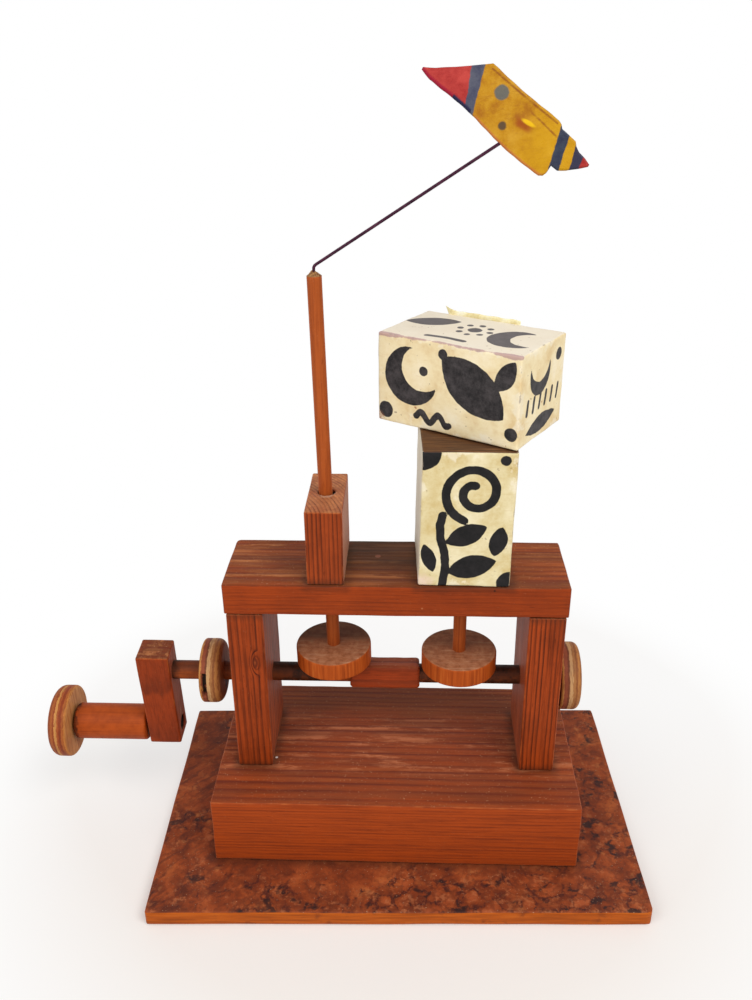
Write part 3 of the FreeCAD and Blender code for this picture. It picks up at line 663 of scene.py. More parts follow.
def disc_profile(length, radius, rounding, far_rounding, step, arc=6):
    """Stations and radii of a disc or rod from 0 to length: out across one end face, round its rim on a
    quarter circle, along the side and back the same way with the far rounding."""
    bend = np.linspace(0, np.pi / 2, arc + 1)
    ends = []
    for size in (rounding, far_rounding):
        face = np.linspace(0, radius - size, max(3, int(round(radius / step))))[:-1]
        ends.append((np.concatenate([np.zeros(len(face)), size * (1 - np.cos(bend))]),
                     np.concatenate([face, radius - size + size * np.sin(bend)])))
    side = np.linspace(rounding, length - far_rounding, max(2, int(round(length / step))))[1:-1]
    stations = np.concatenate([ends[0][0], side, length - ends[1][0][::-1]])
    radii = np.concatenate([ends[0][1], np.full(len(side), radius), ends[1][1][::-1]])
    return stations, radii


def add_turned(name, length, radius, rounding, start, material, body, node, slot_name, turns=(), step=1.0,
               columns=96, shape=None, far_rounding=None):
    """A disc or rod whose axis starts at start and runs along x, turned by each (angle, axis) in turn.
    shape, where given, changes the rings before they are turned."""
    rings = turned_rings(*disc_profile(length, radius, rounding, far_rounding or rounding, step), columns)
    if shape is not None:
        rings = shape(rings)
    out = np.hypot(rings[..., 1], rings[..., 2])
    end_gap = np.minimum(np.abs(rings[..., 0]), np.abs(length - rings[..., 0]))
    add_skin(name, turned_about(rings, turns, start), material, body, node, slot_name,
             edge_mm=np.maximum(end_gap, radius - out), along_mm=rings[..., 0], out_mm=out,
             joint_mm=np.full(rings.shape[:2], far_off))


def shaft_wood(name, light, dark, stains_and_shadows, top_dirt):
    """Dowel: brown straight grain along x, dirtier on top, and darkened round each dark place given (a
    place along x in mm and its width): stains on the shaft, and on the grip a painted shadow at its end
    beside the end disc."""
    wood = Shader(name)
    grain = wood.noise((30.0, 900.0, 900.0), 4.0, 0.7)
    cloud = wood.noise(220.0, 4.0, 0.65)
    wood.shade = wood.ramp(wood.plus(wood.times(grain, 0.55), wood.times(cloud, 0.45)),
                           [(0.34, dark), (0.58, light)])
    wood.coat((62, 32, 22), wood.facing_up(0.1, 0.9), top_dirt)
    spot = wood.plus(wood.axis("X"), wood.swing(wood.noise(140.0, 3.0), 0.012))
    for dark_place, width in stains_and_shadows:
        gap = wood.math("ABSOLUTE", wood.math("SUBTRACT", spot, dark_place * MM))
        wood.coat((34, 18, 10), (gap, width * 0.4 * MM, width * MM, 0.9, 0.0), (cloud, 0.35, 0.6, 1.0, 0.7))
    return wood.finish(0.55, grain, depth=0.15, reach=0.0004)


shaft_axis = (0.0, 2.1, 88.4)
shaft_low, shaft_high = box_of("crank_shaft")
shaft_material = shaft_wood("shaft_wood", (152, 70, 24), (104, 46, 16),
                            [(-48, 26), (54, 18), (16, 8), (-116, 7)], 0.6)
shaft_radius, end_proud = 4.75, 0.3
add_turned("shaft", shaft_high[0] - shaft_low[0] + end_proud, shaft_radius, 0.5,
           (shaft_low[0] - end_proud, *shaft_axis[1:]), shaft_material, "crankshaft", "crank_shaft",
           "dowel_wood", step=1.5, columns=64)

block_wood = stained_wood("drive_block_wood", (0.0, 20.0, 70.0), "x", 3.6, (152, 56, 16), (92, 34, 12),
                          (146, 72, 40), seed=6.1, sheen=0.1)
block_low, block_high = box_of("drive_block")
block_side, block_angle = 12.5, -8
add_block("square_block", (block_high[0] - block_low[0], block_side, block_side),
          ((block_high[0] + block_low[0]) / 2, *shaft_axis[1:]), block_wood, "crankshaft", "drive_block",
          "frame_wood", [(block_angle, "x")], rounding=1.8, step=1.0, wear=0.3, wavelength=14.0, seed=71)

arm_wood = stained_wood("crank_arm_wood", (-122.0, -50.0, 0.0), "z", 3.4, (152, 56, 12), (88, 30, 8),
                        (102, 54, 30), seed=7.7, blotch=0.3, ring_depth=0.6)
arm_low, arm_high = box_of("crank_arm")
arm_above, arm_below, arm_width, crank_angle, crank_throw = 13.4, 44.8, 15.4, 5.8, 37.0
arm_shift = (arm_above - arm_below) / 2
pin_radius, pin_hole_depth = 4.3, 1.8
add_block("arm", (arm_high[0] - arm_low[0], arm_width, arm_above + arm_below),
          ((arm_low[0] + arm_high[0]) / 2, *shaft_axis[1:]), arm_wood, "crankshaft", "crank_arm",
          "frame_wood", [(crank_angle, "x")], step=1.4, seed=81,
          hole=(0.0, -crank_throw - arm_shift, pin_radius, pin_hole_depth), offset=(0, 0, arm_shift))

void_floor, void_place, void_angle = 12.9, 2.6, 176
void_half_turn, void_half_width, void_from, void_shrink = 24, 1.1, 13, 0.8


def plywood(name, plies, rim_shades, face_light, face_dark, stained):
    """Stained plywood disc: the plies are bands of shades along its thickness, each with fine grain; the
    flat faces show one ply with long grain. The short void in the second ply is painted dark inside, a
    painted shade."""
    ply = Shader(name)
    along = ply.attribute("along_mm")
    ragged = ply.noise((1500.0, 500.0, 500.0), 4.0, 0.75)
    wave = ply.plus(ply.swing(ply.noise(110.0), 0.7), ply.swing(ragged, 2.2))
    band = ply.ramp(ply.math("DIVIDE", ply.plus(along, wave), plies), rim_shades, "CONSTANT")
    grain = ply.noise((1100.0, 160.0, 160.0), 4.0, 0.65)
    band = ply.mix(ply.steps(grain, 0.45, 0.7, 0.0, 0.5), band, (96, 48, 28))
    face_grain = ply.noise((90.0, 700.0, 60.0), 4.0, 0.6)
    ply.shade = ply.ramp(face_grain, [(0.3, face_dark), (0.6, face_light)])
    ply.coat(face_dark, (ply.noise(70.0, 3.0), 0.45, 0.7, 0.0, 0.6))
    ply.coat((34, 22, 16), (ply.noise(120.0, 3.0), 0.58, 0.68, 0.0, stained))
    flat = ply.steps(ply.math("ABSOLUTE", ply.axis("X", ply.normal)), 0.75, 0.92)
    ply.shade = ply.mix(flat, band, ply.shade)
    # Inside the void the ply is painted near black, a painted shade, with a few pale crumbs.
    ply.coat((22, 14, 12), (ply.attribute("out_mm"), void_floor - 0.3, void_floor + 1.6, 1.0, 0.0),
             ply.math("COMPARE", along, void_place, 1.15), (ply.noise(420.0), 0.58, 0.66, 1.0, 0.2))
    return ply.finish(0.6, grain, depth=0.15, specular=0.2)


def with_void(rings):
    """Draws the rim in over a short arc of the second ply, where a strip of veneer is missing."""
    angle = np.degrees(np.arctan2(rings[..., 2], rings[..., 1]))
    out = np.hypot(rings[..., 1], rings[..., 2])
    turn = (angle - void_angle + 180) % 360 - 180
    there = (np.abs(turn) < void_half_turn) & (np.abs(rings[..., 0] - void_place) < void_half_width)
    rings[..., 1:] *= np.where(there & (out > void_from), void_shrink, 1.0)[..., None]
    return rings


collar_bands = [(0.0, (184, 124, 64)), (0.12, (138, 68, 42)), (0.3, (110, 56, 34)), (0.38, (192, 146, 98)),
                (0.54, (162, 108, 62)), (0.66, (138, 82, 44)), (0.76, (172, 112, 58)), (0.9, (140, 80, 42))]
collar_thickness = 10.4
collar_ply = plywood("collar_ply", collar_thickness, collar_bands, (176, 116, 68), (112, 68, 40), 0.8)
left_low, left_high = box_of("left_collar")
add_turned("collar_left", collar_thickness, (left_high[2] - left_low[2]) / 2, 1.2,
           (left_low[0], *shaft_axis[1:]), collar_ply, "crankshaft", "left_collar", "ply_edge", step=0.6,
           columns=160, shape=with_void, far_rounding=3.6)
right_low, right_high = box_of("right_collar")
add_turned("collar_right", collar_thickness - end_proud, (right_high[2] - right_low[2]) / 2, 1.4,
           (right_low[0], *shaft_axis[1:]), collar_ply, "crankshaft", "right_collar", "ply_edge", step=0.8,
           columns=120, far_rounding=3.0)


# Handle: a dowel pin glued through the arm carries a smooth turned grip, stained orange brown, that spins
# freely. It is kept on by a plywood disc, which is glued on the far end of the pin.
disc_low, disc_high = box_of("handle_end_disc")
pin_axis = ((disc_low[1] + disc_high[1]) / 2, (disc_low[2] + disc_high[2]) / 2)
end_bands = [(0.0, (152, 78, 34)), (0.12, (130, 58, 26)), (0.2, (158, 84, 38)), (0.34, (136, 62, 28)),
             (0.42, (190, 130, 68)), (0.54, (154, 76, 34)), (0.64, (132, 54, 22)), (0.78, (160, 86, 38)),
             (0.88, (192, 122, 58))]
end_ply = plywood("handle_disc_ply", disc_high[0] - disc_low[0], end_bands, (196, 136, 80), (158, 92, 46),
                  0.0)
add_turned("handle_disc", disc_high[0] - disc_low[0] - end_proud, (disc_high[2] - disc_low[2]) / 2, 4.2,
           (disc_low[0] + end_proud, *pin_axis), end_ply, "crankshaft", "handle_end_disc", "ply_edge",
           step=0.8, columns=120, far_rounding=1.8)
pin_low, pin_high = box_of("handle_pin")
add_turned("pin", pin_high[0] - pin_low[0], pin_radius, 0.3, (pin_low[0], *pin_axis), shaft_material,
           "crankshaft", "handle_pin", "dowel_wood", step=2.0, columns=48)
grip_low, grip_high = box_of("handle_grip")
# The grip's dark place at its end beside the end disc is a painted shadow.
grip_wood = shaft_wood("grip_wood", (172, 74, 20), (140, 56, 12), [(-170, 3)], 0.12)
add_turned("grip", grip_high[0] - grip_low[0], (grip_high[2] - grip_low[2]) / 2, 1.2,
           (grip_low[0], *pin_axis), grip_wood, "handle", "handle_grip", "dowel_wood", step=1.2)


# Followers: two short discs of round timber, end grain up, on upright dowels. The bird's dowel is whittled
# to a blunt point at its tip.
def aslant(shader, scale):
    """The shader's place turned by 35 degrees about z and scaled, for grain that runs aslant."""
    return shader.node("ShaderNodeMapping", shader.place, (0, 0, 0), (0, 0, math.radians(35)),
                       scale).outputs[0]


def end_grain_disc(name, centre, back_shadow):
    """Stained end grain: a dusty mottled top with small dark pores, a painted shadow on the top behind the
    rod, and a rim with upright streaks."""
    disc = Shader(name)
    moved = disc.vector("SUBTRACT", disc.place, metres(centre))
    mottle = disc.noise(320.0, 4.0, 0.7, where=moved)
    disc.shade = disc.ramp(mottle, [(0.34, (136, 80, 50)), (0.5, (158, 98, 64)), (0.68, (174, 118, 82))])
    ring = disc.math("SINE", disc.times(disc.vector("LENGTH", moved), 3600.0))
    disc.coat((100, 54, 34), (ring, 0.2, 1.0, 0.0, 0.1))
    streak = disc.noise((700.0, 700.0, 30.0), 3.0, 0.6, where=moved)
    rim = disc.ramp(streak, [(0.3, (142, 58, 12)), (0.55, (172, 76, 20)), (0.75, (190, 98, 36))])
    up = disc.facing_up()
    disc.shade = disc.mix(up, rim, disc.shade)
    saw_mark = disc.noise(1.0, 3.0, 0.6, where=aslant(disc, (70.0, 900.0, 70.0)))
    disc.coat((190, 142, 108), (saw_mark, 0.5, 0.68, 0.0, 0.4), up)
    disc.coat((82, 44, 28), (disc.cells(moved, 900.0), 0.1, 0.25, 0.3, 0.0), up)
    # A painted shadow on the top behind the rod.
    behind = disc.plus(disc.axis("Y", moved), disc.jitter(mottle, 0.002))
    disc.coat((58, 38, 24), (behind, 0.0, 0.006, 0.0, back_shadow), up)
    return disc.finish(0.65, disc.plus(mottle, streak))


rod_lean = 1.0
bird_disc_start = (-31.337, 2.1, 96.296)
head_disc_start = (31.0, 2.1, 93.45)
disc_height, disc_radius, askew = 10.0, 18.6, 0.7
upright = [(-90, "y")]
leaning = [(-90, "y"), (-rod_lean, "y")]


def sawn_askew(rings):
    """Tilts the far face: it rises in a line, askew mm low at the front and as high at the back."""
    share = np.clip(rings[..., 0] / disc_height, 0, 1)
    rings[..., 0] += share * askew * rings[..., 1] / disc_radius
    return rings


bird_disc_wood = end_grain_disc("bird_disc_wood", bird_disc_start, 0.6)
add_turned("bird_disc", disc_height, disc_radius, 0.9, bird_disc_start, bird_disc_wood, "bird",
           "bird_follower_disc", "follower_wood", leaning, shape=sawn_askew)
head_disc_wood = end_grain_disc("head_disc_wood", head_disc_start, 0.25)
add_turned("head_disc", disc_height, disc_radius, 0.9, head_disc_start, head_disc_wood, "head",
           "head_follower_disc", "follower_wood", upright)

rod_radius, tip_radius, tip_height, rod_inset = 3.2, 1.3, 1.5, 0.4
knife_cut_depth, sliver_height, sliver_from = 0.05, 0.9, 0.5
bird_rod_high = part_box("bird_rod")[1][2] / MM
bird_rod_length = (bird_rod_high - bird_disc_start[2] - rod_inset) / math.cos(math.radians(rod_lean))
bird_rod_start = (*bird_disc_start[:2], bird_disc_start[2] + rod_inset)
rod_wood = stained_wood("rod_wood", (-33.0, -30.0, 0.0), "z", 1.9, (174, 84, 32), (124, 50, 16),
                        (158, 108, 60), seed=8.2, blotch=0.3, ring_depth=0.45,
                        cut_from=bird_rod_length - tip_height)


def whittled(rings):
    """Cuts the rod's tip to a blunt point: the radius falls in a straight line to the tip's, with flat
    knife cuts round it and two slivers of wood that stand up."""
    share = np.clip((rings[..., 0] - (bird_rod_length - tip_height)) / tip_height, 0, 1)
    angle = np.arctan2(rings[..., 2], rings[..., 1])
    facet = 1 - knife_cut_depth * np.minimum(share * 6, 1) * np.abs(np.sin(angle * 3.5 + 0.6))
    factor = (1 - share * (1 - tip_radius / rod_radius)) * facet
    sliver = np.maximum(np.cos(angle - 2.3), 0) ** 12 + 0.6 * np.maximum(np.cos(angle + 2.4), 0) ** 16
    near_tip = np.clip(share * 3 - 1, 0, 1) * (np.hypot(rings[..., 1], rings[..., 2]) > sliver_from)
    rings[..., 1:] *= factor[..., None]
    rings[..., 0] += sliver_height * sliver * near_tip
    return rings


add_turned("rod_bird", bird_rod_length, rod_radius, 0.3, bird_rod_start, rod_wood, "bird_lifter",
           "bird_rod", "dowel_wood", leaning, step=1.2, columns=48, shape=whittled)
head_rod_low, head_rod_high = box_of("head_rod")
head_rod_start = (*head_disc_start[:2], head_disc_start[2] + rod_inset)
add_turned("rod_head", head_rod_high[2] - head_rod_low[2] - rod_inset, rod_radius, 0.3, head_rod_start,
           rod_wood, "head_lifter", "head_rod", "dowel_wood", upright, step=2.0, columns=48)


# Dog: an upright block glued on the beam and a long block for the head that turns on its dowel. Both are
# painted cream with bold black shapes; the paint has yellowed and is worn through at the corners.
def stroke(flat, points, half_width):
    """The distance in mm from a line through the points, less half its width: below 0 inside the stroke."""
    points = np.array(points, float)
    start, run = points[:-1], points[1:] - points[:-1]
    offset = flat[..., None, :] - start
    share = np.clip((offset * run).sum(-1) / (run ** 2).sum(-1), 0, 1)
    return np.linalg.norm(offset - share[..., None] * run, axis=-1).min(-1) - half_width


def dot(flat, centre, radius):
    """The distance from a round dot, below 0 inside."""
    return np.linalg.norm(flat - np.array(centre), axis=-1) - radius


def leaf(flat, centre, half_length, half_width, angle):
    """The distance from a leaf: the overlap of two equal circles, its long axis at the angle in degrees."""
    c, s = math.cos(math.radians(angle)), math.sin(math.radians(angle))
    local = (flat - np.array(centre)) @ np.array([[c, -s], [s, c]])
    radius = (half_length ** 2 + half_width ** 2) / (2 * half_width)
    reach = radius - half_width
    return np.maximum(dot(local, (0, reach), radius), dot(local, (0, -reach), radius))


def crescent(flat, centre, radius, bite, bite_radius):
    """The distance from a disc with a round bite taken out of it."""
    return np.maximum(dot(flat, centre, radius), -dot(flat, bite, bite_radius))


def body_front(flat):
    """A curled tendril with a round bud above, and a stem with leaves below."""
    turn = np.linspace(1.6, 3.4 * np.pi, 60)
    curl_radius = 1.5 + 1.2 * turn
    curl = np.stack([3 + curl_radius * np.cos(turn), 14 + curl_radius * np.sin(turn)], axis=-1)
    stem = [(-11, 3), (-12, -3), (-11.5, -9), (-9.5, -16), (-9, -24), (-10, -33.4)]
    leaves = [leaf(flat, *one) for one in (((0, -7), 10, 5.0, 26), ((3, -23), 11.5, 5.8, 16),
                                           ((14.5, -10), 7.5, 4.0, 78), ((-16.6, -19), 7.5, 3.2, 108))]
    dots = [dot(flat, *one) for one in (((-20.8, 33), 8.5), ((20.8, -31), 6.0), ((15.5, 29.5), 2.4))]
    return np.minimum.reduce([stroke(flat, curl, 2.0), stroke(flat, stem, 1.9), *dots, *leaves])


def head_side(flat):
    """A crescent on the left, a big leaf and a smaller one on the right, a wave below and a few dots."""
    along = np.linspace(-9, 8, 40)
    wave = np.stack([along - 6, -15 + 2.2 * np.sin(along * 0.7)], axis=-1)
    dots = [dot(flat, *one) for one in (((-31, -15), 3.8), ((-2, 15.5), 2.4), ((32, -14), 3.0),
                                        ((-11.5, 6.5), 2.2))]
    return np.minimum.reduce([crescent(flat, (-18, 3), 13.5, (-12.5, 7), 10.2),
                              leaf(flat, (13, 3), 19, 10.5, -36), leaf(flat, (28.5, 11), 8, 4.2, 60),
                              stroke(flat, wave, 1.5), *dots])


def head_end(flat):
    """A half moon, a row of short bars, a leaf and a dot."""
    bars = [stroke(flat, [(x, -7), (x + 1.5, -1)], 1.0) for x in (-15, -9, -3, 3, 9, 15)]
    return np.minimum.reduce([crescent(flat, (-3, 9), 10, (-3, 14.5), 9.2),
                              leaf(flat, (0, -14.5), 15, 3.8, 6), *bars, dot(flat, (15, 13), 2.8)])


def head_top(flat):
    """A leaf, a ring of small dots round a larger one, a broad crescent and a short line."""
    around = np.radians(np.arange(0, 360, 45))
    ring = [dot(flat, (7.5 * math.cos(angle), 3 + 7.5 * math.sin(angle)), 1.6) for angle in around]
    return np.minimum.reduce([leaf(flat, (-23, 6), 13, 6.2, 25),
                              crescent(flat, (22, -1), 12.5, (29, 1), 9.5), *ring, dot(flat, (0, 3), 3.4),
                              stroke(flat, [(-14, -15), (-6, -14.2), (4, -14.6)], 1.5)])


no_ink = 9.0
block_rounding, block_step, face_depth, bare_depth = 0.9, 0.8, 0.5, 0.3


def painted_block(name, size, angle, node, body, material, designs, bare_top, seed, back_left=0.0,
                  lean=0.0):
    """A worn painted block, turned by an angle about z. It keeps the distance in mm to the nearest black
    shape, from the design of each face: (the axis that the face looks along, its side, its function of
    across and up places), and to the top front edge and the lower left front corner, and whether a point is
    on a bare top. The sawn block isn't quite square: its back left edge stands out by back_left and its top
    by lean, both in mm."""
    rings = block_rings(*size, block_rounding, block_step)
    half = np.array(size) / 2
    ink = np.full(rings.shape[:2], no_ink)
    for axis, side, design in designs:
        kept = [other for other in range(3) if other != axis]
        on_face = side * rings[..., axis] > half[axis] - face_depth
        ink = np.where(on_face, np.minimum(ink, design(rings[..., kept])), ink)
    share = rings / np.array(size) + 0.5
    places = worn(rings, amount=0.3, wavelength=30.0, seed=seed)
    places[..., 0] += lean * share[..., 2] - back_left * share[..., 1] * (1 - share[..., 0])
    add_skin(name, turned_about(places, [(angle, "z")], middle(node)[0]), material, body, node,
             "cream_paint", edge_mm=edge_distance(rings, *size), ink_mm=ink, side_mm=np.abs(rings[..., 0]),
             top_mm=np.hypot(rings[..., 1] + half[1], rings[..., 2] - half[2]),
             corner_mm=np.linalg.norm(rings + half, axis=-1),
             bare=(rings[..., 2] > half[2] - bare_depth) * float(bare_top))


def dog_paint(name, pale, mid, deep, ink_dark, ink_pale, top_line, corner_shade, corner_reach):
    """Cream paint in three clouded shades with fine wood grain under it, black shapes with slightly uneven
    edges, greyish worn edges, a worn corner of its own shade and reach in mm, bare stained wood on a top
    that was never painted, and a painted shade that greys the faces looking left. top_line is how much of a
    pinkish line shows along the top front edge."""
    paint = Shader(name)
    paint.shade = paint.ramp(paint.noise(70.0, 5.0, 0.65), [(0.34, deep), (0.5, mid), (0.66, pale)])
    grain = paint.noise((160.0, 160.0, 800.0), 4.0, 0.65)
    paint.coat(deep, (grain, 0.52, 0.75, 0.0, 0.35))
    paler_edge = paint.steps(paint.attribute("edge_mm"), 0.0, 6.0, 0.1, -0.04)
    whiter = paint.plus(paint.noise(95.0, 4.0, 0.7), paler_edge)
    paint.coat((242, 233, 210), (whiter, 0.6, 0.7, 0.0, 0.6))
    top = paint.facing_up()
    paint.coat((226, 216, 200), top, 0.8)
    paint.coat((120, 92, 62), (paint.noise(420.0), 0.69, 0.77, 0.0, 0.6))
    paint.coat((158, 84, 44), (paint.noise(210.0, 3.0), 0.73, 0.78, 0.0, 0.7))
    # Faces that look left are painted greyer: a painted shade.
    paint.coat((206, 198, 184), (paint.axis("X", paint.normal), -0.5, -0.9, 0.0, 0.75))
    black = paint.ramp(paint.noise(190.0, 5.0, 0.7), [(0.38, ink_dark), (0.64, ink_pale)])
    black = paint.mix(paint.times(top, 0.5), black, (104, 96, 96))
    ink_edge = paint.plus(paint.attribute("ink_mm"), paint.swing(paint.noise(260.0, 3.0), 0.9))
    paint.coat(black, (ink_edge, -0.15, 0.15, 1.0, 0.0))
    wear = paint.noise(200.0, 4.0, 0.65)
    wider = paint.steps(paint.attribute("side_mm"), 18.0, 33.0, 0.0, 0.9)
    line_place = paint.plus(paint.attribute("top_mm"), paint.swing(wear, -2.4))
    line_place = paint.math("SUBTRACT", line_place, wider)
    paint.coat((172, 134, 136), (line_place, 0.5, 1.0, top_line, 0.0))
    edge_place = paint.plus(paint.attribute("edge_mm"), paint.swing(wear, -4.0))
    paint.coat((150, 136, 122), (edge_place, -0.4, 0.3, 0.7, 0.0))
    corner = paint.plus(paint.attribute("corner_mm"), paint.swing(wear, -14.0))
    paint.coat(corner_shade, (corner, 0.25 * corner_reach, corner_reach, 0.8, 0.0))
    streak = paint.noise(1.0, 3.0, 0.6, where=aslant(paint, (60.0, 700.0, 60.0)))
    bare_wood = paint.ramp(streak, [(0.3, (60, 36, 20)), (0.55, (94, 60, 34)), (0.75, (124, 84, 50))])
    paint.coat(bare_wood, paint.attribute("bare"))
    relief = paint.plus(grain, paint.noise(120.0, 3.0))
    return paint.finish(0.55, relief, depth=0.18, specular=0.25, reach=0.0004)


body_paint = dog_paint("body_paint", (236, 225, 188), (222, 207, 160), (206, 182, 122), (8, 7, 7),
                       (30, 27, 28), 0.0, (236, 212, 196), 8.0)
head_paint = dog_paint("head_paint", (246, 233, 200), (238, 221, 178), (224, 198, 148), (26, 23, 24),
                       (66, 61, 62), 0.8, (158, 96, 60), 4.5)
body_angle, head_angle = -1.2, -31.9
painted_block("dog_body", (41.6, 42.8, 66.8), body_angle, "body_block", "stand", body_paint,
              [(1, -1, body_front)], True, 91, back_left=2.4, lean=1.0)
painted_block("dog_head", (71.0, 43.6, 41.5), head_angle, "head_block", "head", head_paint,
              [(1, -1, head_side), (0, 1, head_end), (2, 1, head_top)], False, 95)

# Tape: a strip of old yellowed adhesive tape along the head's far top edge. It stands a little above the
# edge and its left end has come loose and curls up.
tape_width, tape_thickness, tape_columns = 9.0, 0.3, 14
tape_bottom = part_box("tape_strip")[0][2] / MM
tape_along = np.linspace(-30.8, 6.2, 60)[:, None]
loose_from, loose_length, loose_rise, loose_lean, loose_narrowing = -24.0, 6.8, 6.5, 3.0, 0.45
tape_out, highest_tape, ripple_up, ripple_out = 35.55, 266.0, 0.12, 0.1
head_pivot = (31.0, 2.1, 0.0)


def tape_rings():
    """The strip as a thin loop of up places on both sides, carried along the head's far face. At the loose
    end the strip narrows, leans away and rises with the square of the distance."""
    share = np.linspace(0, 1, tape_columns)
    column = np.concatenate([share, share[::-1]])
    side = np.repeat([-tape_thickness / 2, tape_thickness / 2], tape_columns)
    loose = np.clip((loose_from - tape_along) / loose_length, 0, 1)
    up = tape_bottom + loose_rise * loose ** 1.5 + tape_width * (1 - loose_narrowing * loose) * column
    up = up + ripple_up * np.sin(tape_along * 0.7) * column
    out = tape_out + side + ripple_out * np.sin(tape_along * 0.9) * column
    out = out - loose_lean * loose ** 2 * column
    rings = np.stack([np.broadcast_to(tape_along, up.shape), out, np.minimum(up, highest_tape)], axis=-1)
    ends = rings[[0, -1]].mean(axis=1, keepdims=True).repeat(2 * tape_columns, axis=1)
    return np.concatenate([ends[:1], rings, ends[1:]])


tape = Shader("old_tape")
tape_cloud = tape.noise(160.0, 4.0, 0.65)
tape.shade = tape.ramp(tape_cloud, [(0.34, (228, 208, 140)), (0.5, (246, 236, 188)),
                                    (0.68, (254, 250, 224))])
tape.surface.inputs["Subsurface Weight"].default_value = 0.1
add_skin("tape_piece", turned_about(tape_rings(), [(head_angle, "z")], head_pivot),
         tape.finish(0.4, tape_cloud, depth=0.3, specular=0.4), "head", "tape_strip", "tape")


# Bird: cut from a flat piece of thin board, painted in bands on both sides, on a bent steel wire whose
# other end is pushed into the tip of the dowel.
bird_upper = [(-46.2, -0.4), (-41.6, 1.6), (-37.1, 4.3), (-30.4, 8.2), (-26.4, 10.9), (-22.8, 13.1),
              (-19.7, 12.6), (-14.8, 11.4), (-4.8, 9.5), (5.0, 8.1), (10.0, 7.3), (11.4, 6.6), (12.6, 5.2),
              (19.4, 3.9), (20.6, 2.4), (22.6, 1.0), (25.9, 0.2), (28.4, -0.9)]
bird_lower = [(-46.2, -1.6), (-41.9, -3.2), (-35.4, -4.2), (-30.5, -4.8), (-23.8, -6.0), (-18.7, -7.2),
              (-11.6, -9.2), (-4.3, -11.1), (2.4, -12.3), (9.1, -13.2), (13.4, -13.6), (14.9, -12.9),
              (15.8, -11.0), (15.6, -8.3), (18.8, -8.6), (21.6, -7.2), (25.6, -4.2), (28.4, -1.9)]
bird_thickness, bird_round = 3.0, 0.8
wire_end = np.array([49.6, 2.1, 346.5])
bird_turns = [(61.0, "y"), (-15.0, "x"), (-32.5, "y")]
lump_place, lump_reach = (0.2, 0.9), (4.6, 1.8)
saw_wave, near_low, near_wave, near_side = 0.06, 0.4, 0.2, -0.6
low_x, low_z = np.array(bird_lower).T
high_x, high_z = np.array(bird_upper).T


def bird_rings():
    """The bird as a rounded rectangle carried from beak to tail: its height runs from the lower to the
    upper outline at each place, and both ends close in a point. The near face lies a little low and is
    uneven, with a raised lump of filler near the middle."""
    along = np.unique(np.concatenate([np.linspace(low_x[0], low_x[-1], 140), low_x, high_x]))
    along = np.concatenate([along[:1], along, along[-1:]])
    bottom = np.interp(along, low_x, low_z) + saw_wave * (1 + np.sin(along * 0.9))
    top = np.interp(along, high_x, high_z) - saw_wave * (1 + np.sin(along * 0.7 + 1.0))
    half_height = np.maximum((top - bottom) / 2, 0)
    half_height[[0, -1]] = 0
    share_a, share_b, angle = loop_turns(4, 44, 4)
    corner = np.minimum(bird_round, half_height)[:, None]
    across = (bird_thickness / 2 - corner) * share_a + corner * np.cos(angle)
    across = across * np.minimum(half_height / bird_round, 1)[:, None]
    up = (half_height[:, None] - corner) * share_b + corner * np.sin(angle) + ((top + bottom) / 2)[:, None]
    rings = np.stack([np.broadcast_to(along[:, None], across.shape), across, up], axis=-1)
    lump = np.exp(-((rings[..., 0] - lump_place[0]) / lump_reach[0]) ** 2
                  - ((rings[..., 2] - lump_place[1]) / lump_reach[1]) ** 2)
    unevenness = near_low + near_wave * drift(rings, wavelength=16.0, seed=7)
    rings[..., 1] += unevenness * (1 - lump) * (rings[..., 1] < near_side)
    return rings


plumage = Shader("bird_paint")
bird_hair = plumage.swing(plumage.noise(320.0, 3.0), 1.2)
bird_along = plumage.plus(plumage.attribute("along_mm"), bird_hair)
bird_up = plumage.attribute("up_mm")
cloud = plumage.noise(150.0, 5.0, 0.65)
fine_grain = plumage.noise((160.0, 900.0, 500.0), 4.0, 0.7)
ochre = plumage.ramp(cloud, [(0.34, (158, 98, 3)), (0.5, (182, 128, 8)), (0.68, (196, 146, 36))])
ochre = plumage.mix(plumage.steps(fine_grain, 0.5, 0.75, 0.0, 0.45), ochre, (150, 92, 14))
ochre = plumage.mix(plumage.steps(bird_along, -4.0, 8.0, 0.0, 0.55), ochre, (202, 152, 0))
red = plumage.ramp(cloud, [(0.35, (150, 30, 28)), (0.65, (184, 62, 55))])
slate = plumage.ramp(cloud, [(0.35, (60, 62, 84)), (0.65, (92, 94, 106))])
tail_slate = plumage.ramp(cloud, [(0.35, (34, 38, 62)), (0.65, (58, 66, 80))])
plumage.shade = red
band_blur = 0.25
for slope, band_place, tint in ((0.38, -26.4, slate), (0.286, -22.1, ochre), (0.26, 13.1, tail_slate),
                                (0.23, 17.3, ochre), (0.27, 20.9, (46, 44, 66)), (0.1, 25.1, red)):
    bird_level = plumage.math("MULTIPLY_ADD", bird_up, slope, bird_along)
    plumage.coat(tint, (bird_level, band_place - band_blur, band_place + band_blur))
below = plumage.attribute("rim_mm")
rim_shadow_share = plumage.steps(below, 0.9, 1.8, 1.0, 0.0)
neck_part = plumage.times((bird_along, -30.8, -30.2), (bird_along, -22.0, -21.4, 1.0, 0.0))
warm_part = plumage.times((bird_along, -21.0, -18.0, 0.0, 0.6), (bird_along, 13.0, 16.0, 1.0, 0.0))
plumage.coat((196, 104, 66), (below, 0.5, 1.3, 1.0, 0.0), warm_part)
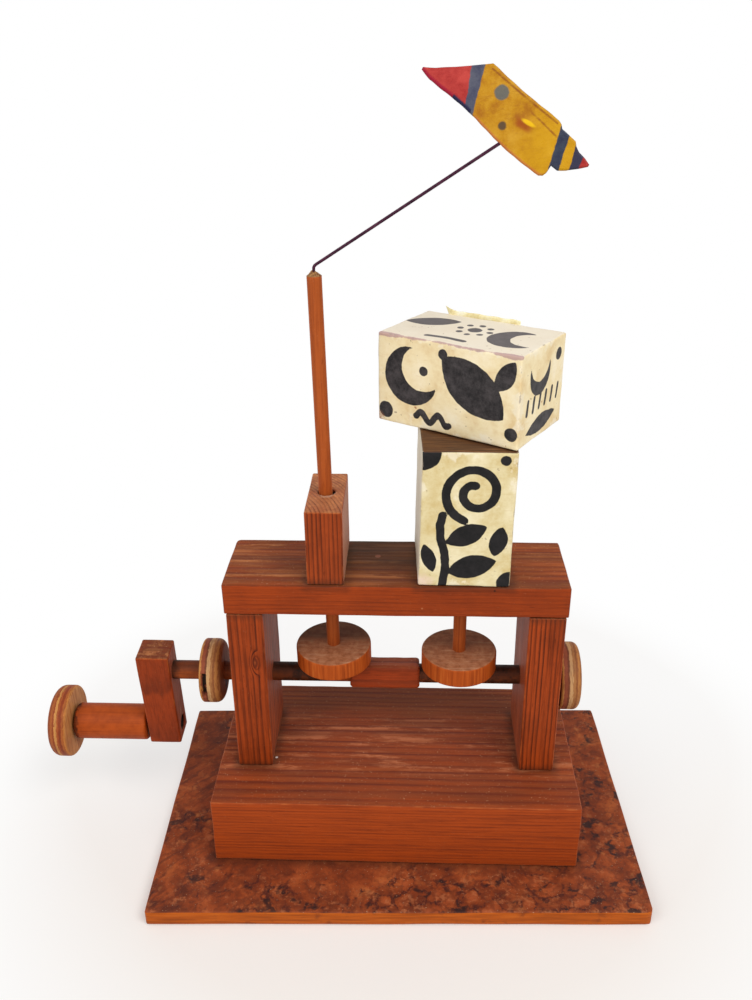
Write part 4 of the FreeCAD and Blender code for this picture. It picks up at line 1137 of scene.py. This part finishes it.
# Along the lower edge under the beak and the neck band the paint is darker: a painted shade on the board's
# edge.
plumage.coat((150, 14, 44), rim_shadow_share, (bird_along, -30.8, -30.2, 1.0, 0.0))
plumage.coat((26, 24, 60), rim_shadow_share, neck_part)
for spot_place, spot_radius, tint in (((-14.5, 5.6), 2.9, (84, 92, 92)), ((-8.2, -4.6), 1.7, (66, 54, 46))):
    spot = plumage.node("ShaderNodeCombineXYZ", plumage.math("SUBTRACT", bird_along, spot_place[0]),
                        plumage.math("SUBTRACT", bird_up, spot_place[1]))
    spot_gap = plumage.vector("LENGTH", spot.outputs[0])
    plumage.coat(tint, (spot_gap, spot_radius - 0.5, spot_radius + 0.3, 0.9, 0.0))
plumage.coat((150, 62, 4), plumage.attribute("lump_shadow"))
# The lump is painted a brighter yellow: a painted highlight on the raised lump.
plumage.coat((228, 182, 4), (plumage.attribute("lump"), 0.4, 0.8, 0.0, 0.9))
plumage.coat((126, 62, 14), (plumage.attribute("crack_mm"), 0.1, 0.6, 0.8, 0.0),
             (fine_grain, 0.35, 0.55, 0.3, 1.0))
bird_material = plumage.finish(0.5, plumage.plus(plumage.times(cloud, 1.5), fine_grain), depth=0.35,
                               specular=0.2, reach=0.0006)
bird_local = bird_rings()
bird_flat = bird_local[..., [0, 2]]
lump_long, lump_wide = np.moveaxis(bird_flat - np.array(lump_place), -1, 0)
cracks = np.minimum(stroke(bird_flat, [(-1.0, 4.8), (5, 3.5), (12.2, 1.7)], 0.0),
                    stroke(bird_flat, [(-22.3, 11.3), (-14, 9.8), (-4, 8.0), (9.9, 6.0)], 0.0))
add_skin("bird_board", turned_about(bird_local, bird_turns, wire_end), bird_material, "bird",
         "painted_bird", "bird_paint", along_mm=bird_flat[..., 0], up_mm=bird_flat[..., 1], crack_mm=cracks,
         lump=np.exp(-(lump_long / 4.0) ** 2 - (lump_wide / 1.15) ** 2),
         lump_shadow=0.85 * np.exp(-((lump_long + 1.2) / 3.6) ** 4 - ((lump_wide + 1.5) / 1.7) ** 4),
         rim_mm=bird_flat[..., 1] - np.interp(bird_flat[..., 0], low_x, low_z))


# Wire: thin round steel, browned, bent once by hand. It comes up out of a hole in the dowel's tip, where it
# is held by friction, goes round the bend and ends in the bird.
wire_radius, wire_bend = 0.65, 2.2
wire_foot = np.array([-34.7, 2.1, 281.6])
wire_corner = np.array([-34.77, 2.1, 292.8])


def wire_line():
    """Points along the wire: straight up from its foot, round the bend on an arc and on to the bird."""
    up = (wire_corner - wire_foot) / np.linalg.norm(wire_corner - wire_foot)
    on = (wire_end - wire_corner) / np.linalg.norm(wire_end - wire_corner)
    reach = wire_bend * math.tan(math.acos(float(up @ on)) / 2)
    first, last = wire_corner - up * reach, wire_corner + on * reach
    share = np.linspace(0, 1, 10)[:, None]
    arc = (1 - share) ** 2 * first + 2 * share * (1 - share) * wire_corner + share ** 2 * last
    run = np.linspace(0, 1, 40)[1:, None]
    return np.concatenate([wire_foot + np.linspace(0, 1, 6)[:-1, None] * (first - wire_foot), arc,
                           last + run * (wire_end - last)])


def tube_rings(line, radius, columns=16):
    """A circle carried along a line that lies in the plane of x and z, closed at both ends."""
    ahead = np.gradient(line, axis=0)
    ahead = ahead / np.linalg.norm(ahead, axis=-1, keepdims=True)
    side = np.array([0.0, 1.0, 0.0])
    lift = np.cross(ahead, side)
    angle = np.linspace(0, 2 * np.pi, columns, endpoint=False)[:, None]
    rings = line[:, None] + radius * (np.cos(angle) * side + np.sin(angle) * lift[:, None])
    ends = line[[0, -1], None].repeat(columns, axis=1)
    return np.concatenate([ends[:1], rings, ends[1:]])


steel = Shader("wire_steel")
rust = steel.noise(420.0, 4.0, 0.65)
steel.shade = steel.ramp(rust, [(0.35, (44, 14, 34)), (0.65, (76, 34, 56))])
add_skin("wire", tube_rings(wire_line(), wire_radius), steel.finish(0.5, rust, specular=0.12, reach=0.0002),
         "bird", "bird_wire", "wire_steel")
